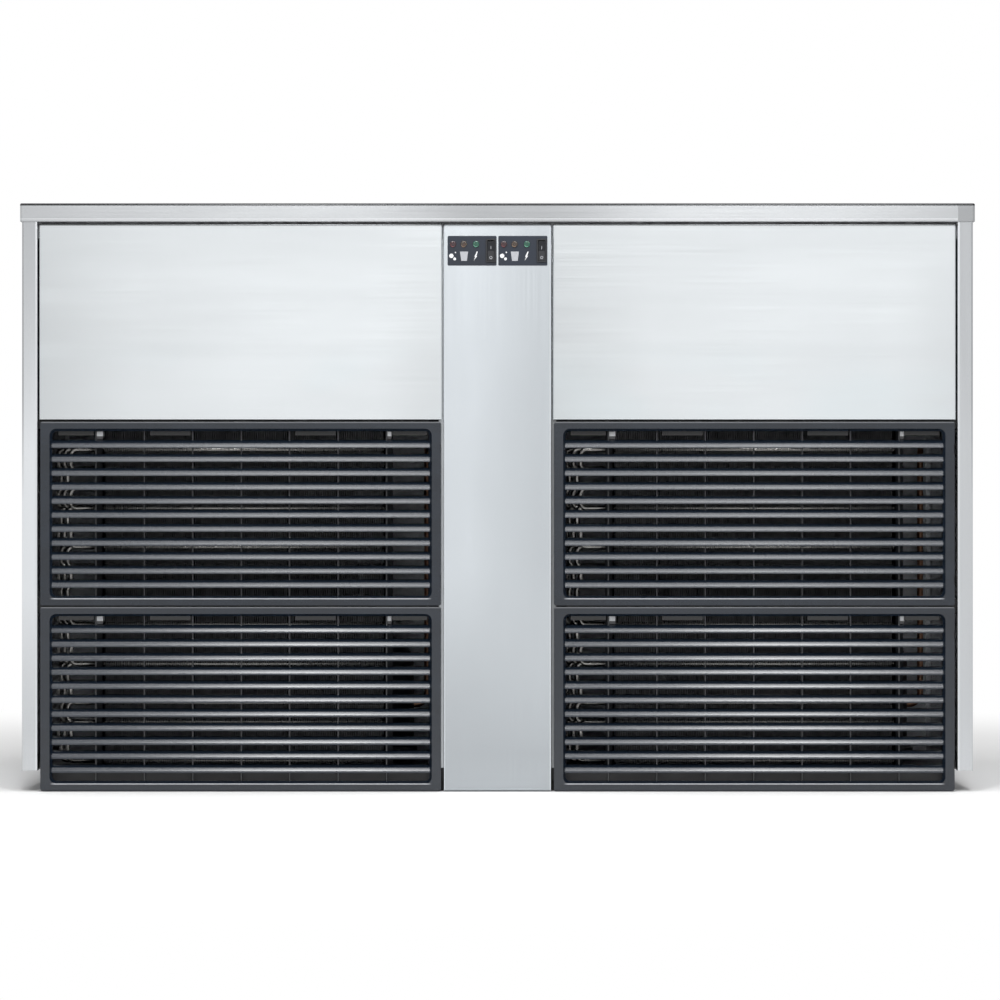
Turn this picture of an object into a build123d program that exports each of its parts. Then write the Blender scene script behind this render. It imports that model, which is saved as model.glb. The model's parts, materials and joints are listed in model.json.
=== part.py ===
from build123d import *
import math
import os

# Overall size, taken over the lid
width = 1250.0
depth = 580.0
height = 770.0

# Sheet metal
lid_sheet = 1.0
lid_flange = 24.0
lid_clearance = 1.5
lid_corner_radius = 3.0
panel_sheet = 1.0
frame_sheet = 1.5
bend_radius = 2.0

# Gaps between fixed neighbours
fit_gap = 0.3
panel_gap = 2.0
row_gap = 2.5

# Side panels
side_flange = 20.5
side_lip = 15.5
side_bottom_z = 27.5
side_inner_flange = 20.0
rear_recess = 25.5
rear_tab = 14.5
vent_length = 80.0
vent_height = 7.0
vent_hood = 8.0
vent_pitch = 34.0
vent_rows = 10
vent_bottom_z = 90.0
vent_columns_y = (-110.0, -5.0)

# Front parts
centre_panel_width = 141.0
front_part_depth = 20.0
front_bottom_z = 1.0

# Louvred grilles
grille_height = 240.5
grille_side_gap = 1.5
grille_gap = 2.0
grille_corner = 2.5
grille_face = 3.0
bezel_side = 12.0
bezel_top = 9.0
reveal = 3.0
reveal_depth = 6.0
opening_corner = 6.0
moulding_wall = 2.5
skirt_wall = 2.0
louvre_count = 11
louvre_pitch = 18.33
first_louvre_drop = 34.2
louvre_radius = 10.2
louvre_sweep = 80.0
louvre_thickness = 1.6
louvre_tail = 5.0
louvre_recess = 4.0
rib_count = 7
rib_width = 1.8
rib_depth = 5.0
end_bay = 56.5
tab_bays = (0, 2, 5, 7)
tab_thickness = 2.0
tab_height = 7.2
top_tab_drop = 10.5
top_tab_insets = (7.0, 3.0)
bottom_tab_drop = 208.5
notch_height = 13.0
notch_depth = 1.4
notch_drops = (37.0, 207.0)
merge = 0.5

# Frame behind the front parts
rail_depth = 20.0
mullion_width = 26.0
mullion_lap = 5.5
top_rail_height = 43.0
upper_rail_height = 22.0
middle_rail_height = 20.0

# Base
base_side_inset = 26.5
base_end_inset = 27.5
base_rail = 14.0
base_centre_rail = 40.0
base_wall = 2.0
pan_lip = 17.0
pan_lip_inset = 37.5
outlet_inset = 10.0

# Control plates
plate_width = 64.1
plate_height = 38.8
plate_thickness = 2.0
plate_corner = 1.5
plate_strip = 2.4
plate_top_drop = 16.2
window_lap = 1.2
lamp_places = (7.2, 21.2, 37.4)
lamp_names = ("red_lamps", "amber_lamps", "green_lamps")
lamp_rise = 8.5
lamp_radius = 4.2
lamp_dome = 2.2
lamp_shank_radius = 3.0
lamp_shank_length = 12.0
shank_clearance = 0.2
lamp_round = 1.2
plate_chamfer = 0.4

# Rocker switches
switch_place = 56.7
bezel_width = 13.4
bezel_height = 30.6
bezel_thickness = 1.8
switch_width = 11.4
switch_height = 28.2
switch_depth = 21.5
rocker_width = 8.8
rocker_half_length = 12.6
rocker_side_clearance = 0.3
rocker_end_clearance = 0.8
rocker_front = 4.8
rocker_valley = 3.0
rocker_belly = 5.0
rocker_tilt = 7.0
rocker_pivot_depth = 4.3
rocker_pin_radius = 1.2
pin_clearance = 0.06
rocker_pin_reach = 0.7
contact_width = 6.3
contact_sheet = 0.8
contact_spacing = 9.0
contact_length = 7.0

# Condensers
coil_left_space = 81.0
coil_right_space = 77.0
coil_depth = 40.0
coil_top_drop = 6.0
coil_gap = 2.5
end_plate = 2.0
end_flange = 9.5
bend_tube_radius = 5.0
bend_tube_rows = 10
bend_reach = 43.0
coil_inset = 1.0
catch_drop = 16.8
catch_height = 8.4
catch_hook = 2.0
left_catch_width = 8.0
right_catch_width = 5.0

# Fans
shroud_sheet = 1.2
shroud_depth = 40.0
fan_radius = 150.0
fan_tip_gap = 8.0
collar_length = 25.0
collar_wall = 1.5
hub_radius = 34.0
hub_length = 28.0
hub_round = 6.0
blade_count = 5
blade_thickness = 2.2
blade_root_chord = 52.0
blade_tip_chord = 96.0
blade_root_pitch = 34.0
blade_tip_pitch = 20.0
blade_camber = 6.0
blade_sink = 10.0
fan_set_back = 6.0
shaft_radius = 4.0
shaft_clearance = 0.05
motor_radius = 42.0
motor_length = 56.0
motor_gap = 10.0
strap_width = 18.0
strap_sheet = 2.5
strap_overlap = 18.0
strap_count = 4
motor_round = 6.0
shaft_stub = 3.0

# Compressors
compressor_radius = 72.0
compressor_height = 150.0
compressor_motor_gap = 34.0
compressor_liner_gap = 5.7
foot_height = 14.0
foot_radius = 11.0
foot_plate = 3.0
foot_spacing_x = 130.0
foot_spacing_y = 90.0
shell_dome = 40.0
seam_share = 0.55
seam_rise = 2.5
seam_height = 4.0
cover_width = 46.0
cover_height = 40.0
cover_rise = 6.0
discharge_radius = 4.0
discharge_rise = 56.0
discharge_reach = 18.0
discharge_bend = 16.0

# Ice sections
ice_depth = 216.0
liner_side_gap = 8.75
liner_wall = 3.0
liner_head = 69.0
pivot_drop = 40.0
pivot_y_back = 90.0
pivot_pin_radius = 4.0
pivot_clearance = 0.1
pivot_tube_radius = 7.0
boss_radius = 9.0
boss_length = 12.0
ledge_width = 10.0
ledge_length = 60.0
ledge_height = 6.0
curtain_side_gap = 30.0
curtain_sheet = 3.0
curtain_offset = 8.0
curtain_bottom_z = 140.0
curtain_rib = 4.0
curtain_rib_shares = (0.1, 0.4, 0.7)
evaporator_width = 400.0
evaporator_depth = 22.0
evaporator_plate = 3.0
evaporator_bottom_z = 200.0
evaporator_top_drop = 60.0
evaporator_y_back = 57.0
cell_columns = 10
cell_rows = 9
cell_wall = 2.0
stud_radius = 6.0
coolant_tubes = 4
trough_bottom_z = 60.0
trough_height = 70.0
trough_wall = 3.0
trough_y_back = 84.0
pump_inset = 30.0
pump_radius = 20.0
pump_height = 100.0
pump_head = 26.0
pump_step = 3.0
pipe_radius = 6.0
pipe_bend = 18.0

# Electrical box
box_bottom_z = 540.0
box_gap = 5.0
cover_margin = 4.0
box_depth = 120.0
box_set_back = 12.0

# Rear fittings
fitting_x = 32.0
inlet_radius = 13.22
inlet_bore = 9.0
inlet_z = 118.0
drain_radius = 12.0
drain_bore = 9.5
drain_z = 62.0
gland_z = 118.0
spigot_length = 22.0
nut_thickness = 6.0
flange_rise = 4.0
flange_thickness = 2.0
gland_radius = 10.0
gland_length = 14.0
cord_bore = 4.0
fitting_inside = 14.0

# Rear panel screws
screw_radius = 2.4
screw_hole_clearance = 0.2
screw_head_radius = 4.8
screw_head_height = 2.8
screw_length = 7.0
screw_rows = 4
screw_end_margin = 60.0
screw_head_taper = 15.0

# Places that follow from the sizes above
side_face_x = width / 2 - lid_sheet - lid_clearance
front_face_y = -(depth / 2 - lid_sheet - lid_clearance)
rear_face_y = -front_face_y
rear_plane_y = rear_face_y - rear_recess
lid_edge_z = height - lid_flange
lid_underside_z = height - lid_sheet
frame_top_z = lid_underside_z - panel_sheet
front_seat_y = front_face_y + front_part_depth
rail_back_y = front_seat_y + rail_depth
pan_bottom_z = side_bottom_z + panel_sheet
floor_z = pan_bottom_z + frame_sheet

base_half_width = side_face_x - base_side_inset
base_half_depth = rear_face_y - base_end_inset
pan_lip_half_width = side_face_x - pan_lip_inset

bay_inner_x = centre_panel_width / 2 + panel_gap
bay_outer_x = side_face_x - side_flange - panel_gap
bay_width = bay_outer_x - bay_inner_x
bay_x = (bay_inner_x + bay_outer_x) / 2
bays = (("left", -bay_x), ("right", bay_x))

grille_width = bay_width - 2 * grille_side_gap
opening_width = grille_width - 2 * (bezel_side + reveal)
opening_height = grille_height - 2 * (bezel_top + reveal)
rib_pitch = (opening_width - 2 * end_bay) / (rib_count - 1)
upper_grille_z = front_bottom_z + grille_height + grille_gap
panel_bottom_z = upper_grille_z + grille_height + row_gap
panel_top_z = lid_edge_z - row_gap

mullion_inner_x = centre_panel_width / 2 - mullion_lap
mullion_outer_x = mullion_inner_x + mullion_width
rail_outer_x = side_face_x - panel_sheet - fit_gap

panel_mid_z = (side_bottom_z + lid_underside_z) / 2
tab_screws_x = side_face_x - side_inner_flange - rear_tab / 2
screw_pitch = (lid_underside_z - side_bottom_z - 2 * screw_end_margin) / (screw_rows - 1)

plate_z = panel_top_z - plate_top_drop - plate_height / 2
plate_x = (plate_strip + plate_width) / 2
plate_face_y = front_face_y - plate_thickness
plates = (("left", -plate_x), ("right", plate_x))
switch_face_y = plate_face_y - bezel_thickness
rocker_pivot_y = switch_face_y + rocker_pivot_depth

coil_front_y = rail_back_y + coil_gap
coil_back_y = coil_front_y + coil_depth
coil_width = bay_width - coil_left_space - coil_right_space
coil_shift = (coil_left_space - coil_right_space) / 2
coil_top_z = upper_grille_z + grille_height - coil_top_drop

shroud_back_y = coil_back_y + shroud_depth
fan_z = (floor_z + coil_top_z) / 2
collar_radius = fan_radius + fan_tip_gap
fan_front_y = shroud_back_y - fan_set_back
motor_front_y = shroud_back_y + collar_length + motor_gap
strap_reach = collar_radius + strap_overlap

liner_width = bay_width - 2 * liner_side_gap
outlet_half_width = liner_width / 2 - outlet_inset
curtain_half_width = liner_width / 2 - curtain_side_gap
pump_offset = liner_width / 2 - pump_inset
liner_back_y = rear_plane_y - panel_sheet - fit_gap
liner_front_y = liner_back_y - ice_depth
liner_top_z = lid_underside_z - liner_head
pivot_y = rear_plane_y - pivot_y_back
pivot_z = liner_top_z - pivot_drop
curtain_y = pivot_y - curtain_offset
evaporator_top_z = pivot_z - evaporator_top_drop
evaporator_y = rear_plane_y - evaporator_y_back
trough_y = rear_plane_y - trough_y_back

compressor_offset = coil_shift + motor_radius + compressor_motor_gap + compressor_radius
compressor_y = liner_front_y - compressor_liner_gap - compressor_radius


def front_plane(x, y, z=0.0):
    """A plane that faces the front, with +Z up in it."""
    return Plane(origin=(x, y, z), x_dir=(1, 0, 0), z_dir=(0, -1, 0))


def side_plane(x, y=0.0, z=0.0):
    """A plane that faces +X, with +Y along it and +Z up."""
    return Plane(origin=(x, y, z), x_dir=(0, 1, 0), z_dir=(1, 0, 0))


def write(piece, name):
    """Label a finished piece and write its file."""
    piece.part.label = name
    export_step(piece.part, f"parts/{name}.step")


# Base frame: an upturned channel under the edge and the middle
def make_base_frame():
    cell_width = base_half_width - base_rail - base_centre_rail / 2
    cell_depth = 2 * (base_half_depth - base_rail)
    cell_x = (base_centre_rail + cell_width) / 2
    with BuildPart() as base_frame:
        with BuildSketch(Plane.XY):
            Rectangle(2 * base_half_width, 2 * base_half_depth)
            with Locations((-cell_x, 0), (cell_x, 0)):
                Rectangle(cell_width, cell_depth, mode=Mode.SUBTRACT)
        extrude(amount=pan_bottom_z)
        with BuildSketch(Plane.XY):
            Rectangle(2 * (base_half_width - base_wall), 2 * (base_half_depth - base_wall))
            with Locations((-cell_x, 0), (cell_x, 0)):
                Rectangle(cell_width + 2 * base_wall, cell_depth + 2 * base_wall, mode=Mode.SUBTRACT)
        extrude(amount=pan_bottom_z - base_wall, mode=Mode.SUBTRACT)
    return base_frame


# Base pan: a sheet with a lip in front and an outlet under each ice section
def make_base_pan():
    rear_edge_y = rear_plane_y - panel_sheet - fit_gap
    outlet_front_y = liner_front_y + 2 * liner_wall
    outlet_back_y = curtain_y + 2 * curtain_sheet
    outlet_y = (outlet_front_y + outlet_back_y) / 2
    with BuildPart() as base_pan:
        with BuildSketch(Plane.XY.offset(pan_bottom_z)):
            with Locations((0, (front_seat_y + rear_edge_y) / 2)):
                Rectangle(2 * rail_outer_x, rear_edge_y - front_seat_y)
            with Locations((0, (front_seat_y + rear_plane_y) / 2)):
                Rectangle(2 * pan_lip_half_width, rear_plane_y - front_seat_y)
            with Locations((-bay_x, outlet_y), (bay_x, outlet_y)):
                Rectangle(2 * outlet_half_width, outlet_back_y - outlet_front_y, mode=Mode.SUBTRACT)
        extrude(amount=frame_sheet)
        with BuildSketch(Plane.XY.offset(floor_z)):
            with Locations((0, front_seat_y + frame_sheet / 2)):
                Rectangle(2 * pan_lip_half_width, frame_sheet)
        extrude(amount=-pan_lip)
    return base_pan


# Side panel: folded front flange and lip, jogged rear edge, and air vents
def make_right_side_panel():
    lip_x = side_face_x - side_flange
    jog_x = side_face_x - side_inner_flange
    inner_x = side_face_x - panel_sheet
    with BuildPart() as side_panel:
        with BuildSketch(Plane.XY.offset(side_bottom_z)):
            with BuildLine():
                FilletPolyline(
                    (lip_x, front_face_y + side_lip),
                    (lip_x, front_face_y),
                    (side_face_x, front_face_y),
                    (side_face_x, rear_face_y),
                    (jog_x, rear_face_y),
                    (jog_x, rear_plane_y),
                    (jog_x - rear_tab, rear_plane_y),
                    radius=bend_radius,
                )
                offset(amount=panel_sheet, side=Side.LEFT)
            make_face()
        extrude(amount=lid_underside_z - side_bottom_z)
        # Flanges along the top and the bottom
        with BuildSketch(Plane.XY.offset(side_bottom_z), Plane.XY.offset(frame_top_z)):
            with Locations((side_face_x - side_inner_flange / 2 - panel_sheet / 2, 0)):
                Rectangle(side_inner_flange - 2 * panel_sheet, 2 * (rear_face_y - bend_radius))
        extrude(amount=panel_sheet)
        # Slots with a hood turned inwards over each
        slots = [
            (y, vent_bottom_z + row * vent_pitch)
            for row in range(vent_rows)
            for y in vent_columns_y
        ]
        with BuildSketch(side_plane(side_face_x)):
            with Locations(*slots):
                Rectangle(vent_length, vent_height)
        extrude(amount=-panel_sheet, mode=Mode.SUBTRACT)
        for y, z in slots:
            with BuildSketch(front_plane(inner_x, y - vent_length / 2, z)):
                with BuildLine():
                    Polyline(
                        (merge, vent_height / 2),
                        (merge, vent_height / 2 + panel_sheet),
                        (-vent_hood, -vent_height / 2 + panel_sheet),
                        (-vent_hood, -vent_height / 2),
                        close=True,
                    )
                make_face()
            extrude(amount=-vent_length)
        # Screw holes in the rear tab
        with BuildSketch(front_plane(0, rear_plane_y, panel_mid_z)):
            with Locations((tab_screws_x, 0)):
                with GridLocations(1, screw_pitch, 1, screw_rows):
                    Circle(screw_radius + screw_hole_clearance)
        extrude(amount=2 * panel_sheet, mode=Mode.SUBTRACT)
    return side_panel


def make_left_side_panel(right_side_panel):
    with BuildPart() as side_panel:
        mirror(right_side_panel.part, about=Plane.YZ)
    return side_panel


# Rear panel: set into the jogged edges, with holes for the fittings
def make_rear_panel():
    half_width = side_face_x - side_inner_flange - bend_radius - fit_gap
    bottom_z = pan_bottom_z + frame_sheet - pan_lip + panel_gap
    top_z = frame_top_z - panel_gap
    with BuildPart() as rear_panel:
        with BuildSketch(front_plane(0, rear_plane_y, (bottom_z + top_z) / 2)):
            Rectangle(2 * half_width, top_z - bottom_z)
        extrude(amount=-panel_sheet)
        with BuildSketch(front_plane(0, rear_plane_y)):
            with Locations((fitting_x, inlet_z)):
                Circle(inlet_radius + shank_clearance)
            with Locations((fitting_x, drain_z)):
                Circle(drain_radius + shank_clearance)
            with Locations((-fitting_x, gland_z)):
                Circle(gland_radius + shank_clearance)
            with Locations((-tab_screws_x, panel_mid_z), (tab_screws_x, panel_mid_z)):
                with GridLocations(1, screw_pitch, 1, screw_rows):
                    Circle(screw_radius + screw_hole_clearance)
        extrude(amount=-panel_sheet, mode=Mode.SUBTRACT)
    return rear_panel


def make_panel_screws():
    head_y = rear_plane_y + panel_sheet
    with BuildPart() as panel_screws:
        with BuildSketch(front_plane(0, head_y, panel_mid_z)):
            with GridLocations(2 * tab_screws_x, screw_pitch, 2, screw_rows):
                Circle(screw_radius)
        extrude(amount=screw_length)
        with BuildSketch(front_plane(0, head_y, panel_mid_z)):
            with GridLocations(2 * tab_screws_x, screw_pitch, 2, screw_rows):
                Circle(screw_head_radius)
        extrude(amount=-screw_head_height, taper=screw_head_taper)
    return panel_screws


# Lid: a shallow tray turned over the cabinet
def make_top_lid():
    with BuildPart() as top_lid:
        with BuildSketch(Plane.XY.offset(lid_edge_z)):
            Rectangle(width, depth)
        extrude(amount=lid_flange)
        fillet(top_lid.edges().filter_by(Axis.Z), lid_corner_radius)
        fillet(top_lid.faces().sort_by(Axis.Z)[-1].edges(), bend_radius)
        offset(amount=-lid_sheet, openings=top_lid.faces().sort_by(Axis.Z)[0])
    return top_lid


def make_tray(x, z, tray_width, tray_height):
    """A front panel folded back on all four sides, open behind."""
    with BuildPart() as tray:
        with BuildSketch(front_plane(x, front_face_y, z)):
            Rectangle(tray_width, tray_height)
        extrude(amount=-front_part_depth)
        fillet(tray.faces().sort_by(Axis.Y)[0].edges(), bend_radius)
        offset(amount=-panel_sheet, openings=tray.faces().sort_by(Axis.Y)[-1])
    return tray


def make_front_panel(x):
    return make_tray(x, (panel_bottom_z + panel_top_z) / 2, bay_width, panel_top_z - panel_bottom_z)


# Centre panel: full height, with a window behind each control plate
def make_centre_panel():
    mid_z = (front_bottom_z + panel_top_z) / 2
    blank = make_tray(0, mid_z, centre_panel_width, panel_top_z - front_bottom_z)
    with BuildPart() as centre_panel:
        add(blank.part)
        with BuildSketch(front_plane(0, front_face_y, plate_z)):
            with Locations((-plate_x, 0), (plate_x, 0)):
                Rectangle(plate_width - 2 * window_lap, plate_height - 2 * window_lap)
        extrude(amount=-2 * panel_sheet, mode=Mode.SUBTRACT)
    return centre_panel


# Frame behind the front parts: open channels, upright and level
def make_mullion(side):
    x = side * (mullion_inner_x + mullion_outer_x) / 2
    top_z = frame_top_z - top_rail_height
    with BuildPart() as mullion:
        with BuildSketch(Plane.XY.offset(floor_z)):
            with Locations((x, (front_seat_y + rail_back_y) / 2)):
                Rectangle(mullion_width, rail_depth)
            with Locations((x, (front_seat_y + rail_back_y) / 2 + frame_sheet)):
                Rectangle(mullion_width - 2 * frame_sheet, rail_depth, mode=Mode.SUBTRACT)
        extrude(amount=top_z - floor_z)
    return mullion


def make_rail(inner_x, outer_x, bottom_z, rail_height):
    """A level channel that opens to the back, from inner_x to outer_x."""
    mid_z = bottom_z + rail_height / 2
    with BuildPart() as rail:
        with BuildSketch(side_plane(inner_x, (front_seat_y + rail_back_y) / 2, mid_z)):
            Rectangle(rail_depth, rail_height)
            with Locations((frame_sheet, 0)):
                Rectangle(rail_depth, rail_height - 2 * frame_sheet, mode=Mode.SUBTRACT)
        extrude(amount=outer_x - inner_x)
    return rail


def make_side_rail(side, bottom_z, rail_height):
    ends = sorted((side * mullion_outer_x, side * rail_outer_x))
    return make_rail(ends[0], ends[1], bottom_z, rail_height)


# One curved slat of a grille, seen from its end: up from its front edge, then back
def make_louvre_profile():
    with BuildSketch() as profile:
        with BuildLine():
            hood = CenterArc((louvre_radius, 0), louvre_radius, 180, -louvre_sweep)
            Line(hood @ 1, (hood @ 1) + (hood % 1) * louvre_tail)
            offset(amount=louvre_thickness, side=Side.RIGHT)
        make_face()
    return profile.sketch


# Grille: hollow moulded frame, curved louvres, upright ribs and filter tabs
def make_grille(x, bottom_z, louvre_profile):
    mid_z = bottom_z + grille_height / 2
    top_z = bottom_z + grille_height
    front = front_plane(x, front_face_y, mid_z)
    seat = front_plane(x, front_seat_y, mid_z)
    reveal_end = front_plane(x, front_face_y + reveal_depth, mid_z)
    louvre_places = [
        (front_face_y + louvre_recess, top_z - first_louvre_drop - i * louvre_pitch)
        for i in range(louvre_count)
    ]
    rib_places = [(i - (rib_count - 1) / 2) * rib_pitch for i in range(rib_count)]
    bay_edges = [-opening_width / 2] + rib_places + [opening_width / 2]
    with BuildPart() as grille:
        with BuildSketch(front):
            RectangleRounded(grille_width, grille_height, grille_corner)
        extrude(amount=-front_part_depth)
        # Hollow behind the face
        with BuildSketch(seat):
            Rectangle(grille_width - 2 * skirt_wall, grille_height - 2 * skirt_wall)
            Rectangle(
                opening_width + 2 * moulding_wall,
                opening_height + 2 * moulding_wall,
                mode=Mode.SUBTRACT,
            )
        extrude(amount=front_part_depth - grille_face, mode=Mode.SUBTRACT)
        # Opening that narrows to the louvres
        with BuildSketch(front):
            RectangleRounded(
                opening_width + 2 * reveal, opening_height + 2 * reveal, opening_corner + reveal
            )
        with BuildSketch(reveal_end):
            RectangleRounded(opening_width, opening_height, opening_corner)
        loft(ruled=True, mode=Mode.SUBTRACT)
        with BuildSketch(reveal_end):
            RectangleRounded(opening_width, opening_height, opening_corner)
        extrude(amount=-front_part_depth, mode=Mode.SUBTRACT)
        # Louvres
        with BuildSketch(side_plane(x - opening_width / 2 - merge)):
            with Locations(*louvre_places):
                add(louvre_profile)
        extrude(amount=opening_width + 2 * merge)
        # Ribs behind the louvres
        with BuildSketch(seat):
            with Locations(*[(place, 0) for place in rib_places]):
                Rectangle(rib_width, opening_height + 2 * merge)
        extrude(amount=rib_depth)
        # Tabs that hold the filter mat
        with BuildSketch(seat):
            for bay in tab_bays:
                for drop, insets in ((top_tab_drop, top_tab_insets), (bottom_tab_drop, (0, 0))):
                    tab_left = bay_edges[bay] + insets[0]
                    tab_right = bay_edges[bay + 1] - insets[1]
                    with Locations(((tab_left + tab_right) / 2, grille_height / 2 - drop - tab_height / 2)):
                        Rectangle(tab_right - tab_left, tab_height)
        extrude(amount=tab_thickness)
        # Finger notches in the right edge
        with BuildSketch(front):
            for drop in notch_drops:
                with Locations((grille_width / 2, grille_height / 2 - drop)):
                    Rectangle(2 * notch_depth, notch_height)
        extrude(amount=-grille_face, mode=Mode.SUBTRACT)
    return grille


# White catches that reach forward from the coil's end plates into the top slots
def make_grille_catches():
    seat_y = coil_front_y
    catch_length = seat_y - front_seat_y + rib_depth
    rib_reach = rib_pitch * (rib_count - 1) / 2 + rib_width / 2 + fit_gap
    with BuildPart() as grille_catches:
        for _, x in bays:
            for bottom_z in (front_bottom_z, upper_grille_z):
                z = bottom_z + grille_height - catch_drop
                for catch_x, catch_width in (
                    (x - rib_reach + rib_width + 2 * fit_gap, left_catch_width),
                    (x + rib_reach, right_catch_width),
                ):
                    middle_x = catch_x + catch_width / 2
                    with BuildSketch(front_plane(middle_x, seat_y, z)):
                        Rectangle(catch_width, catch_height)
                    extrude(amount=catch_length)
                    # A hook at the front end
                    with BuildSketch(side_plane(catch_x, front_seat_y - rib_depth, z)):
                        with BuildLine():
                            Polyline(
                                (0, -catch_height / 2),
                                (catch_hook, -catch_height / 2),
                                (0, -catch_height / 2 - catch_hook),
                                close=True,
                            )
                        make_face()
                    extrude(amount=catch_width)
    return grille_catches


# Control plate with holes for three lamps and a switch
def make_control_plate(x):
    left_edge = -plate_width / 2
    with BuildPart() as control_plate:
        with BuildSketch(front_plane(x, plate_face_y, plate_z)):
            RectangleRounded(plate_width, plate_height, plate_corner)
            with Locations(*[(left_edge + place, lamp_rise) for place in lamp_places]):
                Circle(lamp_shank_radius + shank_clearance, mode=Mode.SUBTRACT)
            with Locations((left_edge + switch_place, 0)):
                Rectangle(switch_width + fit_gap, switch_height + fit_gap, mode=Mode.SUBTRACT)
        extrude(amount=-plate_thickness)
        chamfer(control_plate.faces().sort_by(Axis.Y)[0].outer_wire().edges(), plate_chamfer)
    return control_plate


# Lamps: a domed lens on a shank, one in each plate
def make_lamps(place):
    with BuildPart() as lamps:
        for _, x in plates:
            lamp_x = x - plate_width / 2 + place
            with BuildSketch(front_plane(lamp_x, plate_face_y, plate_z + lamp_rise)):
                Circle(lamp_radius)
            extrude(amount=lamp_dome)
            with BuildSketch(front_plane(lamp_x, plate_face_y, plate_z + lamp_rise)):
                Circle(lamp_shank_radius)
            extrude(amount=-lamp_shank_length)
        fillet(lamps.faces().group_by(Axis.Y)[0].edges(), lamp_round)
    return lamps


# Switch body: a bezel with a well that the rocker tilts in
def make_switch_body(x):
    switch_x = x - plate_width / 2 + switch_place
    well_width = rocker_width + 2 * rocker_side_clearance
    well_height = 2 * (rocker_half_length + rocker_end_clearance)
    well_depth = rocker_pivot_depth + rocker_belly + 2 * rocker_end_clearance
    pin_reach = rocker_width / 2 + rocker_pin_reach + rocker_side_clearance
    with BuildPart() as switch_body:
        with BuildSketch(front_plane(switch_x, plate_face_y, plate_z)):
            RectangleRounded(bezel_width, bezel_height, plate_corner)
        extrude(amount=bezel_thickness)
        with BuildSketch(front_plane(switch_x, plate_face_y, plate_z)):
            Rectangle(switch_width, switch_height)
        extrude(amount=-switch_depth)
        with BuildSketch(front_plane(switch_x, switch_face_y, plate_z)):
            Rectangle(well_width, well_height)
        extrude(amount=-well_depth, mode=Mode.SUBTRACT)
        with BuildSketch(side_plane(switch_x - pin_reach, rocker_pivot_y, plate_z)):
            Circle(rocker_pin_radius + pin_clearance)
        extrude(amount=2 * pin_reach, mode=Mode.SUBTRACT)
        # Contact blades
        with BuildSketch(front_plane(switch_x, plate_face_y + switch_depth, plate_z)):
            with GridLocations(1, contact_spacing, 1, 3):
                Rectangle(contact_width, contact_sheet)
        extrude(amount=-contact_length)
    return switch_body


# Rocker at rest in the off position, its upper half standing out
def make_rocker(x):
    switch_x = x - plate_width / 2 + switch_place
    tilt = math.radians(rocker_tilt)
    tilted = Plane(
        origin=(switch_x - rocker_width / 2, rocker_pivot_y, plate_z),
        x_dir=(0, math.cos(tilt), math.sin(tilt)),
        z_dir=(1, 0, 0),
    )
    with BuildPart() as rocker:
        with BuildSketch(tilted):
            with BuildLine():
                Polyline(
                    (-rocker_front, -rocker_half_length),
                    (-rocker_valley, 0),
                    (-rocker_front, rocker_half_length),
                    (0, rocker_half_length),
                    (rocker_belly, rocker_half_length / 4),
                    (rocker_belly, -rocker_half_length / 4),
                    (0, -rocker_half_length),
                    close=True,
                )
            make_face()
        extrude(amount=rocker_width)
        with BuildSketch(tilted.offset(-rocker_pin_reach)):
            Circle(rocker_pin_radius)
        extrude(amount=rocker_width + 2 * rocker_pin_reach)
    return rocker


# Condenser: a finned block between end plates, with return bends at its left end
def make_condenser(x):
    coil_x = x + coil_shift
    coil_height = coil_top_z - floor_z
    coil_z = (coil_top_z + floor_z) / 2
    left_x = coil_x - coil_width / 2 - end_plate
    right_x = coil_x + coil_width / 2
    row_pitch = coil_height / bend_tube_rows
    bend_x = left_x - bend_reach + row_pitch / 2
    rows = [floor_z + (i + 0.5) * row_pitch for i in range(bend_tube_rows)]
    with BuildPart() as condenser:
        with BuildSketch(front_plane(coil_x, coil_front_y + coil_inset, coil_z)):
            Rectangle(coil_width, coil_height - 2 * coil_inset)
        extrude(amount=-(coil_depth - 2 * coil_inset))
        for plate_left, flange_left in ((left_x, left_x - end_flange), (right_x, right_x + end_plate)):
            with BuildSketch(Plane.XY.offset(floor_z)):
                with Locations((plate_left + end_plate / 2, coil_front_y + coil_depth / 2)):
                    Rectangle(end_plate, coil_depth)
                with Locations((flange_left + end_flange / 2, coil_front_y + end_plate / 2)):
                    Rectangle(end_flange, end_plate)
            extrude(amount=coil_height)
        # Straight tube ends, joined in pairs by half turns
        with BuildSketch(side_plane(left_x, coil_front_y + coil_depth / 2)):
            with Locations(*[(0, z) for z in rows]):
                Circle(bend_tube_radius)
        extrude(amount=-(left_x - bend_x))
        for low_z in rows[::2]:
            turn_z = low_z + row_pitch / 2
            with BuildSketch(side_plane(bend_x, coil_front_y + coil_depth / 2, low_z)):
                Circle(bend_tube_radius)
            turn_axis = Axis((bend_x, coil_front_y + coil_depth / 2, turn_z), (0, 1, 0))
            revolve(axis=turn_axis, revolution_arc=180)
    return condenser


# Fan shroud: a box behind the coil with a collar round the fan
def make_fan_shroud(x):
    coil_x = x + coil_shift
    shroud_height = coil_top_z - floor_z
    shroud_z = (coil_top_z + floor_z) / 2
    with BuildPart() as fan_shroud:
        with BuildSketch(front_plane(coil_x, coil_back_y, shroud_z)):
            Rectangle(coil_width, shroud_height)
        extrude(amount=-shroud_depth)
        offset(amount=-shroud_sheet, openings=fan_shroud.faces().sort_by(Axis.Y)[0])
        with BuildSketch(front_plane(coil_x, shroud_back_y, fan_z)):
            Circle(collar_radius + collar_wall)
        extrude(amount=-collar_length)
        with BuildSketch(front_plane(coil_x, shroud_back_y + collar_length, fan_z)):
            Circle(collar_radius)
        extrude(amount=collar_length + 2 * shroud_sheet, mode=Mode.SUBTRACT)
    return fan_shroud


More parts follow.
